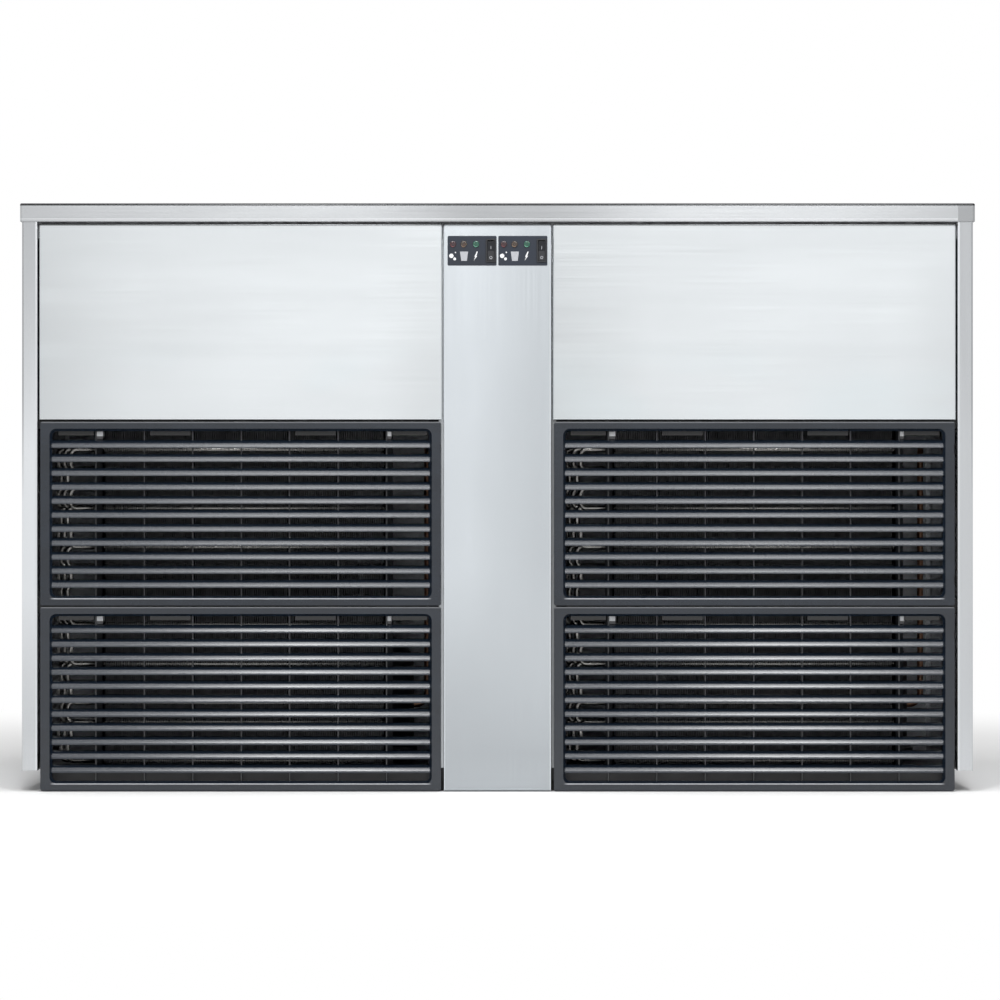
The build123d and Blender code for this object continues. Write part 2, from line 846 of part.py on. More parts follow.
def blade_section(radius, chord, pitch):
    """The cambered section of a fan blade, square to the blade's length."""
    with BuildSketch(Plane.XY.offset(radius).rotated((0, 0, pitch))) as section:
        with BuildLine():
            face = ThreePointArc((-chord / 2, 0), (0, blade_camber), (chord / 2, 0))
            back = ThreePointArc(
                (chord / 2, -blade_thickness),
                (0, blade_camber - blade_thickness),
                (-chord / 2, -blade_thickness),
            )
            Line(face @ 1, back @ 0)
            Line(back @ 1, face @ 0)
        make_face()
    return section.sketch


# Fan: pitched blades on a hub with a bore for the motor shaft
def make_fan(x):
    fan_y = fan_front_y + hub_length / 2
    hub_front = front_plane(0, -hub_length / 2)
    with BuildPart() as blade:
        add(blade_section(hub_radius - blade_sink, blade_root_chord, blade_root_pitch))
        add(blade_section(fan_radius, blade_tip_chord, blade_tip_pitch))
        loft(ruled=True)
    with BuildPart() as wheel:
        with BuildSketch(front_plane(0, 0)):
            Circle(hub_radius)
        extrude(amount=hub_length / 2, both=True)
        fillet(wheel.faces().sort_by(Axis.Y)[0].edges(), hub_round)
        for i in range(blade_count):
            add(blade.part.rotate(Axis.Y, i * 360 / blade_count))
        with BuildSketch(front_plane(0, 0)):
            Circle(fan_radius)
        extrude(amount=hub_length, both=True, mode=Mode.INTERSECT)
        with BuildSketch(hub_front):
            Circle(shaft_radius + shaft_clearance)
        extrude(amount=-hub_length, mode=Mode.SUBTRACT)
    with BuildPart() as fan:
        add(Pos(x + coil_shift, fan_y, fan_z) * wheel.part)
    return fan


# Fan motor: body, shaft through the hub, and straps forward to the shroud
def make_fan_motor(x):
    motor_x = x + coil_shift
    strap_y = motor_front_y + strap_width
    strap_length = strap_y - shroud_back_y
    with BuildPart() as fan_motor:
        with BuildSketch(front_plane(motor_x, motor_front_y, fan_z)):
            Circle(motor_radius)
        extrude(amount=-motor_length)
        fillet(fan_motor.faces().sort_by(Axis.Y)[-1].edges(), motor_round)
        with BuildSketch(front_plane(motor_x, motor_front_y, fan_z)):
            Circle(shaft_radius)
        extrude(amount=motor_front_y - fan_front_y + shaft_stub)
        for i in range(strap_count):
            angle = math.radians((i + 0.5) * 360 / strap_count)
            outward = Vector(math.cos(angle), 0, math.sin(angle))
            across = Vector(math.sin(angle), 0, -math.cos(angle))
            corner = Vector(motor_x, strap_y, fan_z) - across * (strap_width / 2)
            with BuildSketch(Plane(origin=corner, x_dir=outward, z_dir=across)):
                with BuildLine():
                    Polyline(
                        (motor_radius - strap_sheet, 0),
                        (strap_reach, 0),
                        (strap_reach, strap_length),
                        (strap_reach - strap_sheet, strap_length),
                        (strap_reach - strap_sheet, strap_sheet),
                        (motor_radius - strap_sheet, strap_sheet),
                        close=True,
                    )
                make_face()
            extrude(amount=strap_width)
    return fan_motor


# Compressor: a domed shell with a seam, on a plate with four rubber feet
def make_compressor(x):
    shell_x = x + compressor_offset
    plate_bottom_z = floor_z + foot_height
    seam_z = plate_bottom_z + foot_plate + compressor_height * seam_share
    plate_size = (foot_spacing_x + 2 * foot_radius, foot_spacing_y + 2 * foot_radius)
    with BuildPart() as compressor:
        with BuildSketch(Plane.XY.offset(plate_bottom_z)):
            with Locations((shell_x, compressor_y)):
                Circle(compressor_radius)
        extrude(amount=foot_plate + compressor_height)
        fillet(compressor.faces().sort_by(Axis.Z)[-1].edges(), shell_dome)
        with BuildSketch(Plane.XY.offset(seam_z)):
            with Locations((shell_x, compressor_y)):
                Circle(compressor_radius + seam_rise)
        extrude(amount=seam_height)
        with BuildSketch(Plane.XY.offset(plate_bottom_z)):
            with Locations((shell_x, compressor_y)):
                RectangleRounded(*plate_size, foot_radius)
        extrude(amount=foot_plate)
        with BuildSketch(Plane.XY.offset(floor_z)):
            with Locations((shell_x, compressor_y)):
                with GridLocations(foot_spacing_x, foot_spacing_y, 2, 2):
                    Circle(foot_radius)
        extrude(amount=foot_height)
        # Terminal cover on the front of the shell
        with BuildSketch(front_plane(shell_x, compressor_y, seam_z)):
            RectangleRounded(cover_width, cover_height, plate_corner)
        extrude(amount=compressor_radius + cover_rise)
    return compressor


# Discharge pipe: from the compressor's shell up and forward to the condenser's top row
def make_discharge_pipe(x):
    shell_side_x = x + compressor_offset + compressor_radius + fit_gap
    low_z = floor_z + foot_height + foot_plate + discharge_rise
    coil_y = coil_front_y + coil_depth / 2
    coil_end_x = x + coil_shift + coil_width / 2 + end_plate
    pipe_x = max(shell_side_x, coil_end_x) + discharge_reach
    top_z = coil_top_z - (coil_top_z - floor_z) / bend_tube_rows / 2
    with BuildPart() as discharge_pipe:
        with BuildLine():
            FilletPolyline(
                (shell_side_x, compressor_y, low_z),
                (pipe_x, compressor_y, low_z),
                (pipe_x, compressor_y, top_z),
                (pipe_x, coil_y, top_z),
                (coil_end_x, coil_y, top_z),
                radius=discharge_bend,
            )
        with BuildSketch(side_plane(shell_side_x, compressor_y, low_z)):
            Circle(discharge_radius)
        sweep()
    return discharge_pipe


# Ice section liner: open below, with bearing bosses and ledges for the trough
def make_liner(x):
    middle_y = (liner_front_y + liner_back_y) / 2
    inner_half = liner_width / 2 - liner_wall
    ledge_y = (trough_y + liner_back_y - liner_wall) / 2
    with BuildPart() as liner:
        with BuildSketch(Plane.XY.offset(floor_z)):
            with Locations((x, middle_y)):
                Rectangle(liner_width, ice_depth)
        extrude(amount=liner_top_z - floor_z)
        offset(amount=-liner_wall, openings=liner.faces().sort_by(Axis.Z)[0])
        for side in (-1, 1):
            with BuildSketch(side_plane(x + side * inner_half, pivot_y, pivot_z)):
                Circle(boss_radius)
                Circle(pivot_pin_radius + pivot_clearance, mode=Mode.SUBTRACT)
            extrude(amount=-side * boss_length)
        with BuildSketch(Plane.XY.offset(trough_bottom_z)):
            with Locations((x, ledge_y)):
                with GridLocations(2 * inner_half - ledge_width, 1, 2, 1):
                    Rectangle(ledge_width, ledge_length)
        extrude(amount=-ledge_height)
    return liner


# Curtain: a ribbed sheet that hangs from a tube with a pin at each end
def make_curtain(x):
    pin_end = liner_width / 2 - liner_wall - merge
    with BuildPart() as curtain:
        with BuildSketch(side_plane(x - curtain_half_width)):
            with Locations((curtain_y + curtain_sheet / 2, (pivot_z + curtain_bottom_z) / 2)):
                Rectangle(curtain_sheet, pivot_z - curtain_bottom_z)
            with Locations((pivot_y, pivot_z)):
                Circle(pivot_tube_radius)
            for share in curtain_rib_shares:
                rib_z = curtain_bottom_z + share * (pivot_z - curtain_bottom_z)
                with Locations((curtain_y - curtain_rib / 2 + merge, rib_z)):
                    Rectangle(curtain_rib + merge, curtain_sheet)
        extrude(amount=2 * curtain_half_width)
        with BuildSketch(side_plane(x - pin_end, pivot_y, pivot_z)):
            Circle(pivot_pin_radius)
        extrude(amount=2 * pin_end)
    return curtain


# Evaporator: a plate of open cells, with coolant tubes and studs behind
def make_evaporator(x):
    plate_z = (evaporator_bottom_z + evaporator_top_z) / 2
    evaporator_height = evaporator_top_z - evaporator_bottom_z
    column_pitch = (evaporator_width - cell_wall) / cell_columns
    row_pitch = (evaporator_height - cell_wall) / cell_rows
    back_y = evaporator_y + evaporator_depth
    stud_length = liner_back_y - liner_wall - back_y
    tube_start_x = x - evaporator_width / 2 + column_pitch
    with BuildPart() as evaporator:
        with BuildSketch(front_plane(x, evaporator_y, plate_z)):
            Rectangle(evaporator_width, evaporator_height)
        extrude(amount=-evaporator_depth)
        with BuildSketch(front_plane(x, evaporator_y, plate_z)):
            with GridLocations(column_pitch, row_pitch, cell_columns, cell_rows):
                Rectangle(column_pitch - cell_wall, row_pitch - cell_wall)
        extrude(amount=-(evaporator_depth - evaporator_plate), mode=Mode.SUBTRACT)
        with BuildSketch(front_plane(x, back_y, plate_z)):
            with GridLocations(evaporator_width - 2 * column_pitch, evaporator_height - row_pitch, 2, 2):
                Circle(stud_radius)
        extrude(amount=-stud_length)
        with BuildSketch(side_plane(tube_start_x, back_y + pipe_radius - merge, plate_z)):
            with GridLocations(1, 2 * row_pitch, 1, coolant_tubes):
                Circle(pipe_radius)
        extrude(amount=evaporator_width - 2 * column_pitch)
    return evaporator


# Water trough: an open tray on the liner's ledges
def make_water_trough(x):
    back_y = liner_back_y - liner_wall - fit_gap
    trough_width = liner_width - 2 * liner_wall - 2 * fit_gap
    with BuildPart() as water_trough:
        with BuildSketch(Plane.XY.offset(trough_bottom_z)):
            with Locations((x, (trough_y + back_y) / 2)):
                Rectangle(trough_width, back_y - trough_y)
        extrude(amount=trough_height)
        offset(amount=-trough_wall, openings=water_trough.faces().sort_by(Axis.Z)[-1])
    return water_trough


# Pump: stands on the trough's floor
def make_pump(x):
    foot_z = trough_bottom_z + trough_wall
    with BuildPart() as pump:
        with BuildSketch(Plane.XY.offset(foot_z)):
            with Locations((x + pump_offset, rail_y())):
                Circle(pump_radius)
        extrude(amount=pump_head)
        with BuildSketch(Plane.XY.offset(foot_z + pump_head)):
            with Locations((x + pump_offset, rail_y())):
                Circle(pump_radius - pump_step)
        extrude(amount=pump_height - pump_head)
    return pump


def rail_y():
    """Depth at which the pump and its pipe stand, over the evaporator's middle."""
    return evaporator_y + evaporator_depth / 2


# Water rail: a pipe up from the pump, then level along the evaporator's top
def make_water_rail(x):
    start_z = trough_bottom_z + trough_wall + pump_height
    rail_z = evaporator_top_z + pipe_radius + fit_gap
    with BuildPart() as water_rail:
        with BuildLine(front_plane(x, rail_y())):
            FilletPolyline(
                (pump_offset, start_z),
                (pump_offset, rail_z),
                (-evaporator_width / 2, rail_z),
                radius=pipe_bend,
            )
        with BuildSketch(Plane.XY.offset(start_z)):
            with Locations((x + pump_offset, rail_y())):
                Circle(pipe_radius)
        sweep()
    return water_rail


# Electrical box between the mullions, behind the control plates
def make_electrical_box():
    half_width = mullion_inner_x - fit_gap
    front_y = front_seat_y + box_set_back
    top_z = frame_top_z - top_rail_height - box_gap
    cover_size = (2 * (half_width - cover_margin), top_z - box_bottom_z - 2 * cover_margin)
    with BuildPart() as electrical_box:
        with BuildSketch(front_plane(0, front_y, (box_bottom_z + top_z) / 2)):
            Rectangle(2 * half_width, top_z - box_bottom_z)
        extrude(amount=-box_depth)
        fillet(electrical_box.edges().filter_by(Axis.Y), bend_radius)
        # Raised cover on the front
        with BuildSketch(front_plane(0, front_y, (box_bottom_z + top_z) / 2)):
            RectangleRounded(*cover_size, bend_radius)
        extrude(amount=frame_sheet)
    return electrical_box


def make_spigot(x, z, spigot_radius, bore_radius, length):
    """A fitting through the rear panel: flange and spigot outside, hexagon nut inside."""
    outer_y = rear_plane_y + panel_sheet
    with BuildPart() as spigot:
        with BuildSketch(front_plane(x, outer_y + length, z)):
            Circle(spigot_radius)
        extrude(amount=length + panel_sheet + fitting_inside)
        with BuildSketch(front_plane(x, outer_y + flange_thickness, z)):
            Circle(spigot_radius + flange_rise)
        extrude(amount=flange_thickness)
        with BuildSketch(front_plane(x, rear_plane_y, z)):
            RegularPolygon(spigot_radius + flange_rise, 6)
        extrude(amount=nut_thickness)
        with BuildSketch(front_plane(x, outer_y + length, z)):
            Circle(bore_radius)
        extrude(amount=length, mode=Mode.SUBTRACT)
    return spigot


os.makedirs("parts", exist_ok=True)
louvre_profile = make_louvre_profile()
upper_rail_z = upper_grille_z + grille_height - bezel_top
middle_rail_z = front_bottom_z + grille_height - bezel_top
top_rail_z = frame_top_z - top_rail_height

write(make_base_frame(), "base_frame")
write(make_base_pan(), "base_pan")
right_side_panel = make_right_side_panel()
write(right_side_panel, "right_side_panel")
write(make_left_side_panel(right_side_panel), "left_side_panel")
write(make_rear_panel(), "rear_panel")
write(make_panel_screws(), "panel_screws")
write(make_top_lid(), "top_lid")
write(make_centre_panel(), "centre_panel")
write(make_rail(-rail_outer_x, rail_outer_x, top_rail_z, top_rail_height), "top_front_rail")
write(make_grille_catches(), "grille_catches")
write(make_electrical_box(), "electrical_box")
write(make_spigot(fitting_x, inlet_z, inlet_radius, inlet_bore, spigot_length), "water_inlet")
write(make_spigot(fitting_x, drain_z, drain_radius, drain_bore, spigot_length), "drain_outlet")
write(make_spigot(-fitting_x, gland_z, gland_radius, cord_bore, gland_length), "cable_gland")
for name, place in zip(lamp_names, lamp_places):
    write(make_lamps(place), name)
for side, x in plates:
    write(make_control_plate(x), f"{side}_control_plate")
    write(make_switch_body(x), f"{side}_switch_body")
    write(make_rocker(x), f"{side}_rocker")
for side, x in bays:
    hand = math.copysign(1, x)
    write(make_front_panel(x), f"{side}_front_panel")
    write(make_mullion(hand), f"{side}_mullion")
    write(make_side_rail(hand, upper_rail_z, upper_rail_height), f"{side}_upper_rail")
    write(make_side_rail(hand, middle_rail_z, middle_rail_height), f"{side}_middle_rail")
    write(make_grille(x, front_bottom_z, louvre_profile), f"lower_{side}_grille")
    write(make_grille(x, upper_grille_z, louvre_profile), f"upper_{side}_grille")
    write(make_condenser(x), f"{side}_condenser")
    write(make_fan_shroud(x), f"{side}_fan_shroud")
    write(make_fan(x), f"{side}_fan")
    write(make_fan_motor(x), f"{side}_fan_motor")
    write(make_compressor(x), f"{side}_compressor")
    write(make_discharge_pipe(x), f"{side}_discharge_pipe")
    write(make_liner(x), f"{side}_liner")
    write(make_curtain(x), f"{side}_curtain")
    write(make_evaporator(x), f"{side}_evaporator")
    write(make_water_trough(x), f"{side}_water_trough")
    write(make_pump(x), f"{side}_pump")
    write(make_water_rail(x), f"{side}_water_rail")
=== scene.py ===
"""Looks of the modular ice machine: materials, fine pieces, light and camera.

Lengths are in metres, in the frame of the CAD: x to the right, y to the back, z up.
"""

import json
import math
import random

import bmesh
import bpy
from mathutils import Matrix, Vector


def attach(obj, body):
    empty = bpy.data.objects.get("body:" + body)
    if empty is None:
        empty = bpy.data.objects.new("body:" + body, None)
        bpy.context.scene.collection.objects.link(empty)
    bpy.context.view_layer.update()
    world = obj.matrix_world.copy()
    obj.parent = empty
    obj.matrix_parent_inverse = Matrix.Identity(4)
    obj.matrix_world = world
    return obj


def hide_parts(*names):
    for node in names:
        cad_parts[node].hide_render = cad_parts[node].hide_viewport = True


# Camera, floor and light
CAMERA_CENTRE = (0.0033, 0.3816)
CAMERA_DISTANCE = 6.0
CAMERA_WIDTH = 1.309
SENSOR_WIDTH = 36.0
FLOOR_HALF_WIDTH = 14.0
FLOOR_DROP = 0.0002
FLOOR_NEAR = 0.75
FLOOR_FAR = 2.2
WORLD_LIGHT = 0.32
AIM_Y = -0.28
AIM_Z = 0.35
OVERHEAD_PLACE = (0.0, -0.5, 2.8)
OVERHEAD_AIM = (0.0, 0.0, 0.3)
OVERHEAD_SIZE = (2.4, 1.2)
OVERHEAD_POWER = 34.0
SOFTBOX_XS = (("left", -0.38), ("right", 0.59))
SOFTBOX_AIM_SHARE = 0.64
SOFTBOX_SIZE = (0.34, 0.98)
SOFTBOX_REACH = 3.3
SOFTBOX_ARC = ((28.5, 24.0), (45.5, 13.0), (62.5, 7.0))  # degrees up, watts

# Front of the machine
FRONT_Y = -0.2875
LID_BOTTOM_Z = 0.746
LID_TOP_Z = 0.770
PANEL_BOTTOM_Z = 0.4865
PANEL_TOP_Z = 0.7435
PANEL_OUTER_X = 0.6045
PANEL_GAP = 0.002
CENTRE_HALF_WIDTH = 0.0705
BAY_X = 0.33625
LOUVRE_BACK_Y = -0.2742
CATCH_TOPS = (0.2289, 0.4714)

# Condensers
COIL_SEEDS = {"left": 7, "right": 11}
COIL_FRONT_Y = -0.245
COIL_BACK_Y = -0.205
COIL_BOTTOM_Z = 0.030
COIL_TOP_Z = 0.478
FIN_LEFT_DX = -0.18275
FIN_RIGHT_DX = 0.18675
FIN_PITCH = 0.0024
FIN_THICKNESS = 0.0004
FIN_END_GAP = 0.002
FIN_INSET_Y = 0.0012
FIN_INSET_Z = 0.001
FIN_JITTER = 0.00018
FIN_LEAN = 0.0004
FIN_LEAN_CHANCE = 0.15
END_PLATE = 0.002
END_FLANGE = 0.0095
TUBE_RADIUS = 0.0034
TUBE_STUB = 0.002
TUBE_ROWS = 17
TUBE_PITCH = 0.02566
TOP_TUBE_Z = 0.4483
TUBE_COLUMNS_Y = (-0.2400, -0.2330, -0.2260, -0.2190, -0.2120)
BEND_REACHES = (0.0440, 0.0490, 0.0535, 0.0585, 0.0625)
BEND_RADIUS = 0.0075
BEND_STEPS = 5

# Control plates: the signs are in millimetres from a plate's lower left corner
PLATE_Y = -0.2895
PLATE_LEFTS = (("left", -0.0653), ("right", 0.0012))
PLATE_BOTTOM_Z = 0.6885
PRINT_RISE = 0.00012
PRINT_DROP = 0.0072
ICE_DOTS = ((4.9, 19.8, 2.9), (9.3, 15.8, 1.9), (10.4, 24.3, 0.9))
BUCKET = ((16.2, 25.4), (26.8, 25.4), (25.3, 13.2), (17.9, 13.2))
BOLT = ((38.2, 25.6), (39.6, 25.2), (37.6, 19.6), (38.9, 19.8), (34.4, 13.6), (36.2, 18.6), (35.0, 18.4))

# Rockers: the stroke and the ring are laid on their tilted halves
ROCKER_PLACES = (("left", -0.0086), ("right", 0.0579))
ROCKER_PIVOT = (-0.2870, 0.7079)
ROCKER_TILT = 7.0
ROCKER_VALLEY = 0.0030
ROCKER_SLOPE = 1.8 / 12.6
MARK_HALF_WIDTH = 0.00035
MARK_RISE = 0.00006
STROKE_HALF_HEIGHT = 0.0021
STROKE_UP = 0.0044
RING_UP = -0.0086
RING_RADIUS = 0.0019
RING_LINE = 0.0006
RING_STEPS = 28

# Tones
# The steel tones differ from piece to piece as painted light and shade: lit and shaded copies of one steel
PALE_STEEL = (0.730, 0.762, 0.782)
CENTRE_STEEL = (0.643, 0.682, 0.715)
MID_STEEL = (0.600, 0.625, 0.645)
SHADED_STEEL = (0.36, 0.37, 0.38)
LID_STEEL = (0.550, 0.565, 0.580)
SIDE_STEEL = (0.556, 0.572, 0.590)
SLATE = (0.006, 0.010, 0.017)
DUST_TONE = (0.30, 0.29, 0.27)
CHIP_TONE = (0.34, 0.33, 0.31)
# Painted highlights along the grilles' ledges and rims, and painted shade on the mullions, catches and fins
LEDGE_HIGHLIGHT_TONE = (0.36, 0.37, 0.39)
RIM_HIGHLIGHT_TONE = (0.10, 0.105, 0.115)
MULLION_SHADE_TONE = (0.012, 0.012, 0.014)
CATCH_SHADE_TONE = (0.03, 0.03, 0.033)
FIN_SHADE_TONE = (0.018, 0.018, 0.019)
LENS_LIT = (-0.20, -0.85, -0.49)  # the way a lens faces where its painted highlight is brightest

# Tones painted by place, for painted light and shade: a FADE or LINE says where, and a SHADE is a factor on
# the piece's own tone, below 1 for painted shade and above 1 for a painted highlight
LINE_SOFT = 0.0004
PANEL_TOP_FADE, PANEL_TOP_SHADE = (0.650, 0.735), 0.87
PANEL_LEFT_FADES, PANEL_LEFT_SHADE = ((0.13, 0.6), (0.27, 0.4)), 0.79  # reach and share
PANEL_RIGHT_REACH, PANEL_RIGHT_SHADE = 0.10, 0.90
PANEL_BANDS, PANEL_BAND_SHADE = ((0.645, 0.652), (0.574, 0.581)), 0.90
PANEL_BAND_SOFT, PANEL_BAND_SHARE = 0.012, 0.30
PANEL_TINT_TOP, PANEL_TINT_SOFT, PANEL_TINT_SHARE = 0.53, 0.07, 0.35
PANEL_TINT_FACTORS = (0.93, 0.99, 1.0)
UNDER_LID_FADES = ((0.0052, 0.0032, 0.80), (0.0031, 0.0021, 0.10))  # from and to, under the top, and shade
CENTRE_FOOT_FADE, CENTRE_FOOT_SHADE = (0.050, 0.295), 0.64
CENTRE_RIGHT_FADE, CENTRE_RIGHT_SHADE = (-0.036, 0.053), 0.84
CENTRE_EDGE_WIDTH, CENTRE_EDGE_SHARE, CENTRE_EDGE_SHADE = 0.0016, 0.8, 1.25
LID_FRONT_DEPTHS = (0.0020, 0.0030)
LID_MIDDLE, LID_MIDDLE_SOFT, LID_MIDDLE_SHADE = (-0.005, 0.040), 0.20, 0.68
LID_END_FADE, LID_END_SHADE = (0.45, 0.61), 0.85
LID_FOOT_LINE, LID_FOOT_SHARE, LID_FOOT_SHADE = (0.0029, 0.0038), 0.8, 1.16
LID_CORNER_FADE, LID_CORNER_SHADE = (0.6022, 0.6032), 0.62
LID_TOP_LINE, LID_TOP_SHADE = (0.0034, 0.0028), 0.07
FLANGE_DEPTHS = (0.0008, 0.0016)
FLANGE_GLOW_RISE, FLANGE_GLOW_FALL, FLANGE_GLOW_SHADE = (0.08, 0.26), (0.38, 0.72, 1.0, 0.6), 1.30
FLANGE_TOP_FADE, FLANGE_TOP_SHADE = (0.45, 0.74), 0.77
FLANGE_LINE, FLANGE_LINE_SHARE, FLANGE_LINE_SHADE = (0.6045, 0.6055), 0.9, 1.22
FLANGE_EDGE_FADE, FLANGE_EDGE_RISE, FLANGE_EDGE_SHADE = (0.6198, 0.6206), (0.38, 0.52), 0.66
MULLION_SHADE_FROM = (0.0765, 0.0775)
FIN_SHADE_DEPTHS = (0.0016, 0.0040)
LOUVRE_FRONT_DEPTHS, LOUVRE_FRONT_SHARE, LOUVRE_FRONT_SHADE = (0.0032, 0.0040), 0.7, 1.6
LOUVRE_DEEP_REACH, LOUVRE_DEEP_SHARE, LOUVRE_DEEP_SHADE = 0.0025, 0.95, 0.15
LEDGE_DEPTHS = (0.0045, 0.0060)
LEDGE_ENDS = (0.244, 0.250)
LEDGE_LINES = ((0.0093, 0.0104), (0.2518, 0.2529))
RIM_LINES = ((0.2401, 0.2412), (0.4826, 0.4837))
CATCH_SHADE_TOP, CATCH_SHADE_FOOT = (0.0064, 0.0056), (0.02, 0.0195)

# The surface's sockets, and the brushed steel's noise along x or z
SOCKETS = {
    "base_color": "Base Color", "metallic": "Metallic", "roughness": "Roughness", "normal": "Normal",
    "ior": "IOR", "specular": "Specular IOR Level", "coat": "Coat Weight", "coat_roughness": "Coat Roughness",
    "emission": "Emission Color", "emission_strength": "Emission Strength", "subsurface": "Subsurface Weight",
}
GRAIN = {"x": (5.0, 2600.0, 2600.0), "z": (2600.0, 2600.0, 5.0)}
STREAK = {"x": (2.0, 190.0, 190.0), "z": (190.0, 190.0, 2.0)}
CLOUD = {"x": (3.0, 7.0, 9.0), "z": (8.0, 8.0, 2.6)}

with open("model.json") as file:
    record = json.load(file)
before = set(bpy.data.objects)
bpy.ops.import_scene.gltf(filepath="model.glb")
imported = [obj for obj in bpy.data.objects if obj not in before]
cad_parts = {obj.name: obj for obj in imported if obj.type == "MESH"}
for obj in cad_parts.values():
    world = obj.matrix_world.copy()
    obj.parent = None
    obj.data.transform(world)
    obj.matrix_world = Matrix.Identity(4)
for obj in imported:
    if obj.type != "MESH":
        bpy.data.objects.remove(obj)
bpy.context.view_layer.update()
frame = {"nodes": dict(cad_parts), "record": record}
nodes = frame["nodes"]
slot_of = {part["node"]: part["material_slot"] for part in frame["record"]["subparts"]}


# Materials

def times(tone, factor, more=0.0):
    """A tone made darker or brighter, and held at white."""
    return tuple(min(1.0, c * factor + more) for c in tone)


class Shader:
    """A material's node tree with short ways to add nodes."""

    def __init__(self, name):
        self.material = bpy.data.materials.new(name)
        self.material.use_nodes = True
        self.tree = self.material.node_tree
        self.surface = self.tree.nodes["Principled BSDF"]
        self.place = self.add("ShaderNodeTexCoord").outputs["Object"]

    def add(self, kind, inputs=None, **settings):
        """Adds a node: an output given as an input is linked, and any other value is set."""
        node = self.tree.nodes.new(kind)
        for key, value in settings.items():
            setattr(node, key, value)
        for key, value in (inputs or {}).items():
            self.feed(node.inputs[key], value)
        return node

    def feed(self, socket, value):
        """Links an output to a socket, or sets the socket's value."""
        if isinstance(value, bpy.types.NodeSocket):
            self.tree.links.new(value, socket)
        else:
            socket.default_value = value

    def set(self, **values):
        """Sets or links sockets of the surface, by their names in SOCKETS."""
        for key, value in values.items():
            self.feed(self.surface.inputs[SOCKETS[key]], value)

    def noise(self, scale, detail=2.0, rough=0.5, seed=0.0):
        """Noise from 0 to 1, with scale per metre along x, y and z."""
        shift = (seed, seed * 1.7, seed * 0.6)
        spread = self.add("ShaderNodeMapping", {"Vector": self.place, "Location": shift, "Scale": scale})
        inputs = {"Vector": spread.outputs[0], "Scale": 1.0, "Detail": detail, "Roughness": rough}
        return self.add("ShaderNodeTexNoise", inputs).outputs["Fac"]

    def span(self, value, low, high, to_low=0.0, to_high=1.0, smooth=False):
        """Maps low..high of a value to to_low..to_high, held at the ends."""
        inputs = {"Value": value, "From Min": low, "From Max": high, "To Min": to_low, "To Max": to_high}
        kind = "SMOOTHSTEP" if smooth else "LINEAR"
        return self.add("ShaderNodeMapRange", inputs, interpolation_type=kind).outputs["Result"]

    def math(self, operation, a, b=0.0):
        """A sum, product or other result of two values."""
        return self.add("ShaderNodeMath", {0: a, 1: b}, operation=operation).outputs[0]

    def mix(self, share, first, second):
        """Mixes two colours by a share from 0 to 1."""
        node = self.add("ShaderNodeMix", data_type="RGBA")
        self.feed(node.inputs[0], share)
        for index, colour in ((6, first), (7, second)):
            linked = isinstance(colour, bpy.types.NodeSocket)
            self.feed(node.inputs[index], colour if linked else (*colour, 1.0))
        return node.outputs[2]

    def axis(self, name):
        """The x, y or z place on the piece, in metres."""
        return self.add("ShaderNodeSeparateXYZ", {0: self.place}).outputs[name]

    def band(self, axis, low, high, soft):
        """1 between low and high along an axis, fading to 0 over soft on each side."""
        place = self.axis(axis)
        rise = self.span(place, low - soft, low, smooth=True)
        fall = self.span(place, high, high + soft, 1.0, 0.0, smooth=True)
        return self.math("MULTIPLY", rise, fall)

    def bump(self, height, strength, distance, normal=None):
        """A normal bent by a height, on top of another normal if one is given."""
        inputs = {"Height": height, "Strength": strength, "Distance": distance}
        if normal is not None:
            inputs["Normal"] = normal
        return self.add("ShaderNodeBump", inputs).outputs[0]

    def edges(self, radius):
        """1 on edges and corners within a radius and 0 on flat faces, and the rounded normal."""
        rounded = self.add("ShaderNodeBevel", {"Radius": radius}, samples=4).outputs[0]
        flat = self.add("ShaderNodeNewGeometry").outputs["Normal"]
        match = self.add("ShaderNodeVectorMath", {0: rounded, 1: flat}, operation="DOT_PRODUCT")
        return self.span(match.outputs["Value"], 0.98, 0.80), rounded


def steel(name, tone, grain, cloud, rough, shade, seed, streaks=0.08):
    """Brushed stainless steel: grain and streaks along one axis, soft clouds, edges a little brighter."""
    s = Shader(name)
    fine = s.noise(GRAIN[grain], 1.0, seed=seed)
    streak = s.noise(STREAK[grain], 3.0, 0.6, seed=seed + 3.1)
    clouds = s.noise(CLOUD[grain], 3.0, 0.55, seed=seed + 7.7)
    colour = s.mix(s.span(clouds, 0.32, 0.68), times(tone, 1 - cloud), times(tone, 1 + cloud))
    colour = s.mix(s.span(streak, 0.58, 0.80, 0.0, streaks), colour, times(tone, 0.80))
    colour = s.mix(s.span(fine, 0.45, 0.80, 0.0, 0.10), colour, times(tone, 0.76))
    worn, rounded = s.edges(0.0005)
    colour = s.mix(s.math("MULTIPLY", worn, 0.35), colour, times(tone, 1.15))
    gloss = s.math("ADD", s.span(fine, 0.3, 0.7, rough - 0.03, rough + 0.04),
                   s.span(clouds, 0.3, 0.7, -0.01, 0.015))
    marks = s.math("ADD", fine, s.math("MULTIPLY", streak, 0.3))
    s.set(base_color=shade(s, colour, tone), metallic=1.0, roughness=gloss,
          normal=s.bump(marks, 0.12, 0.00004, rounded))
    return s.material


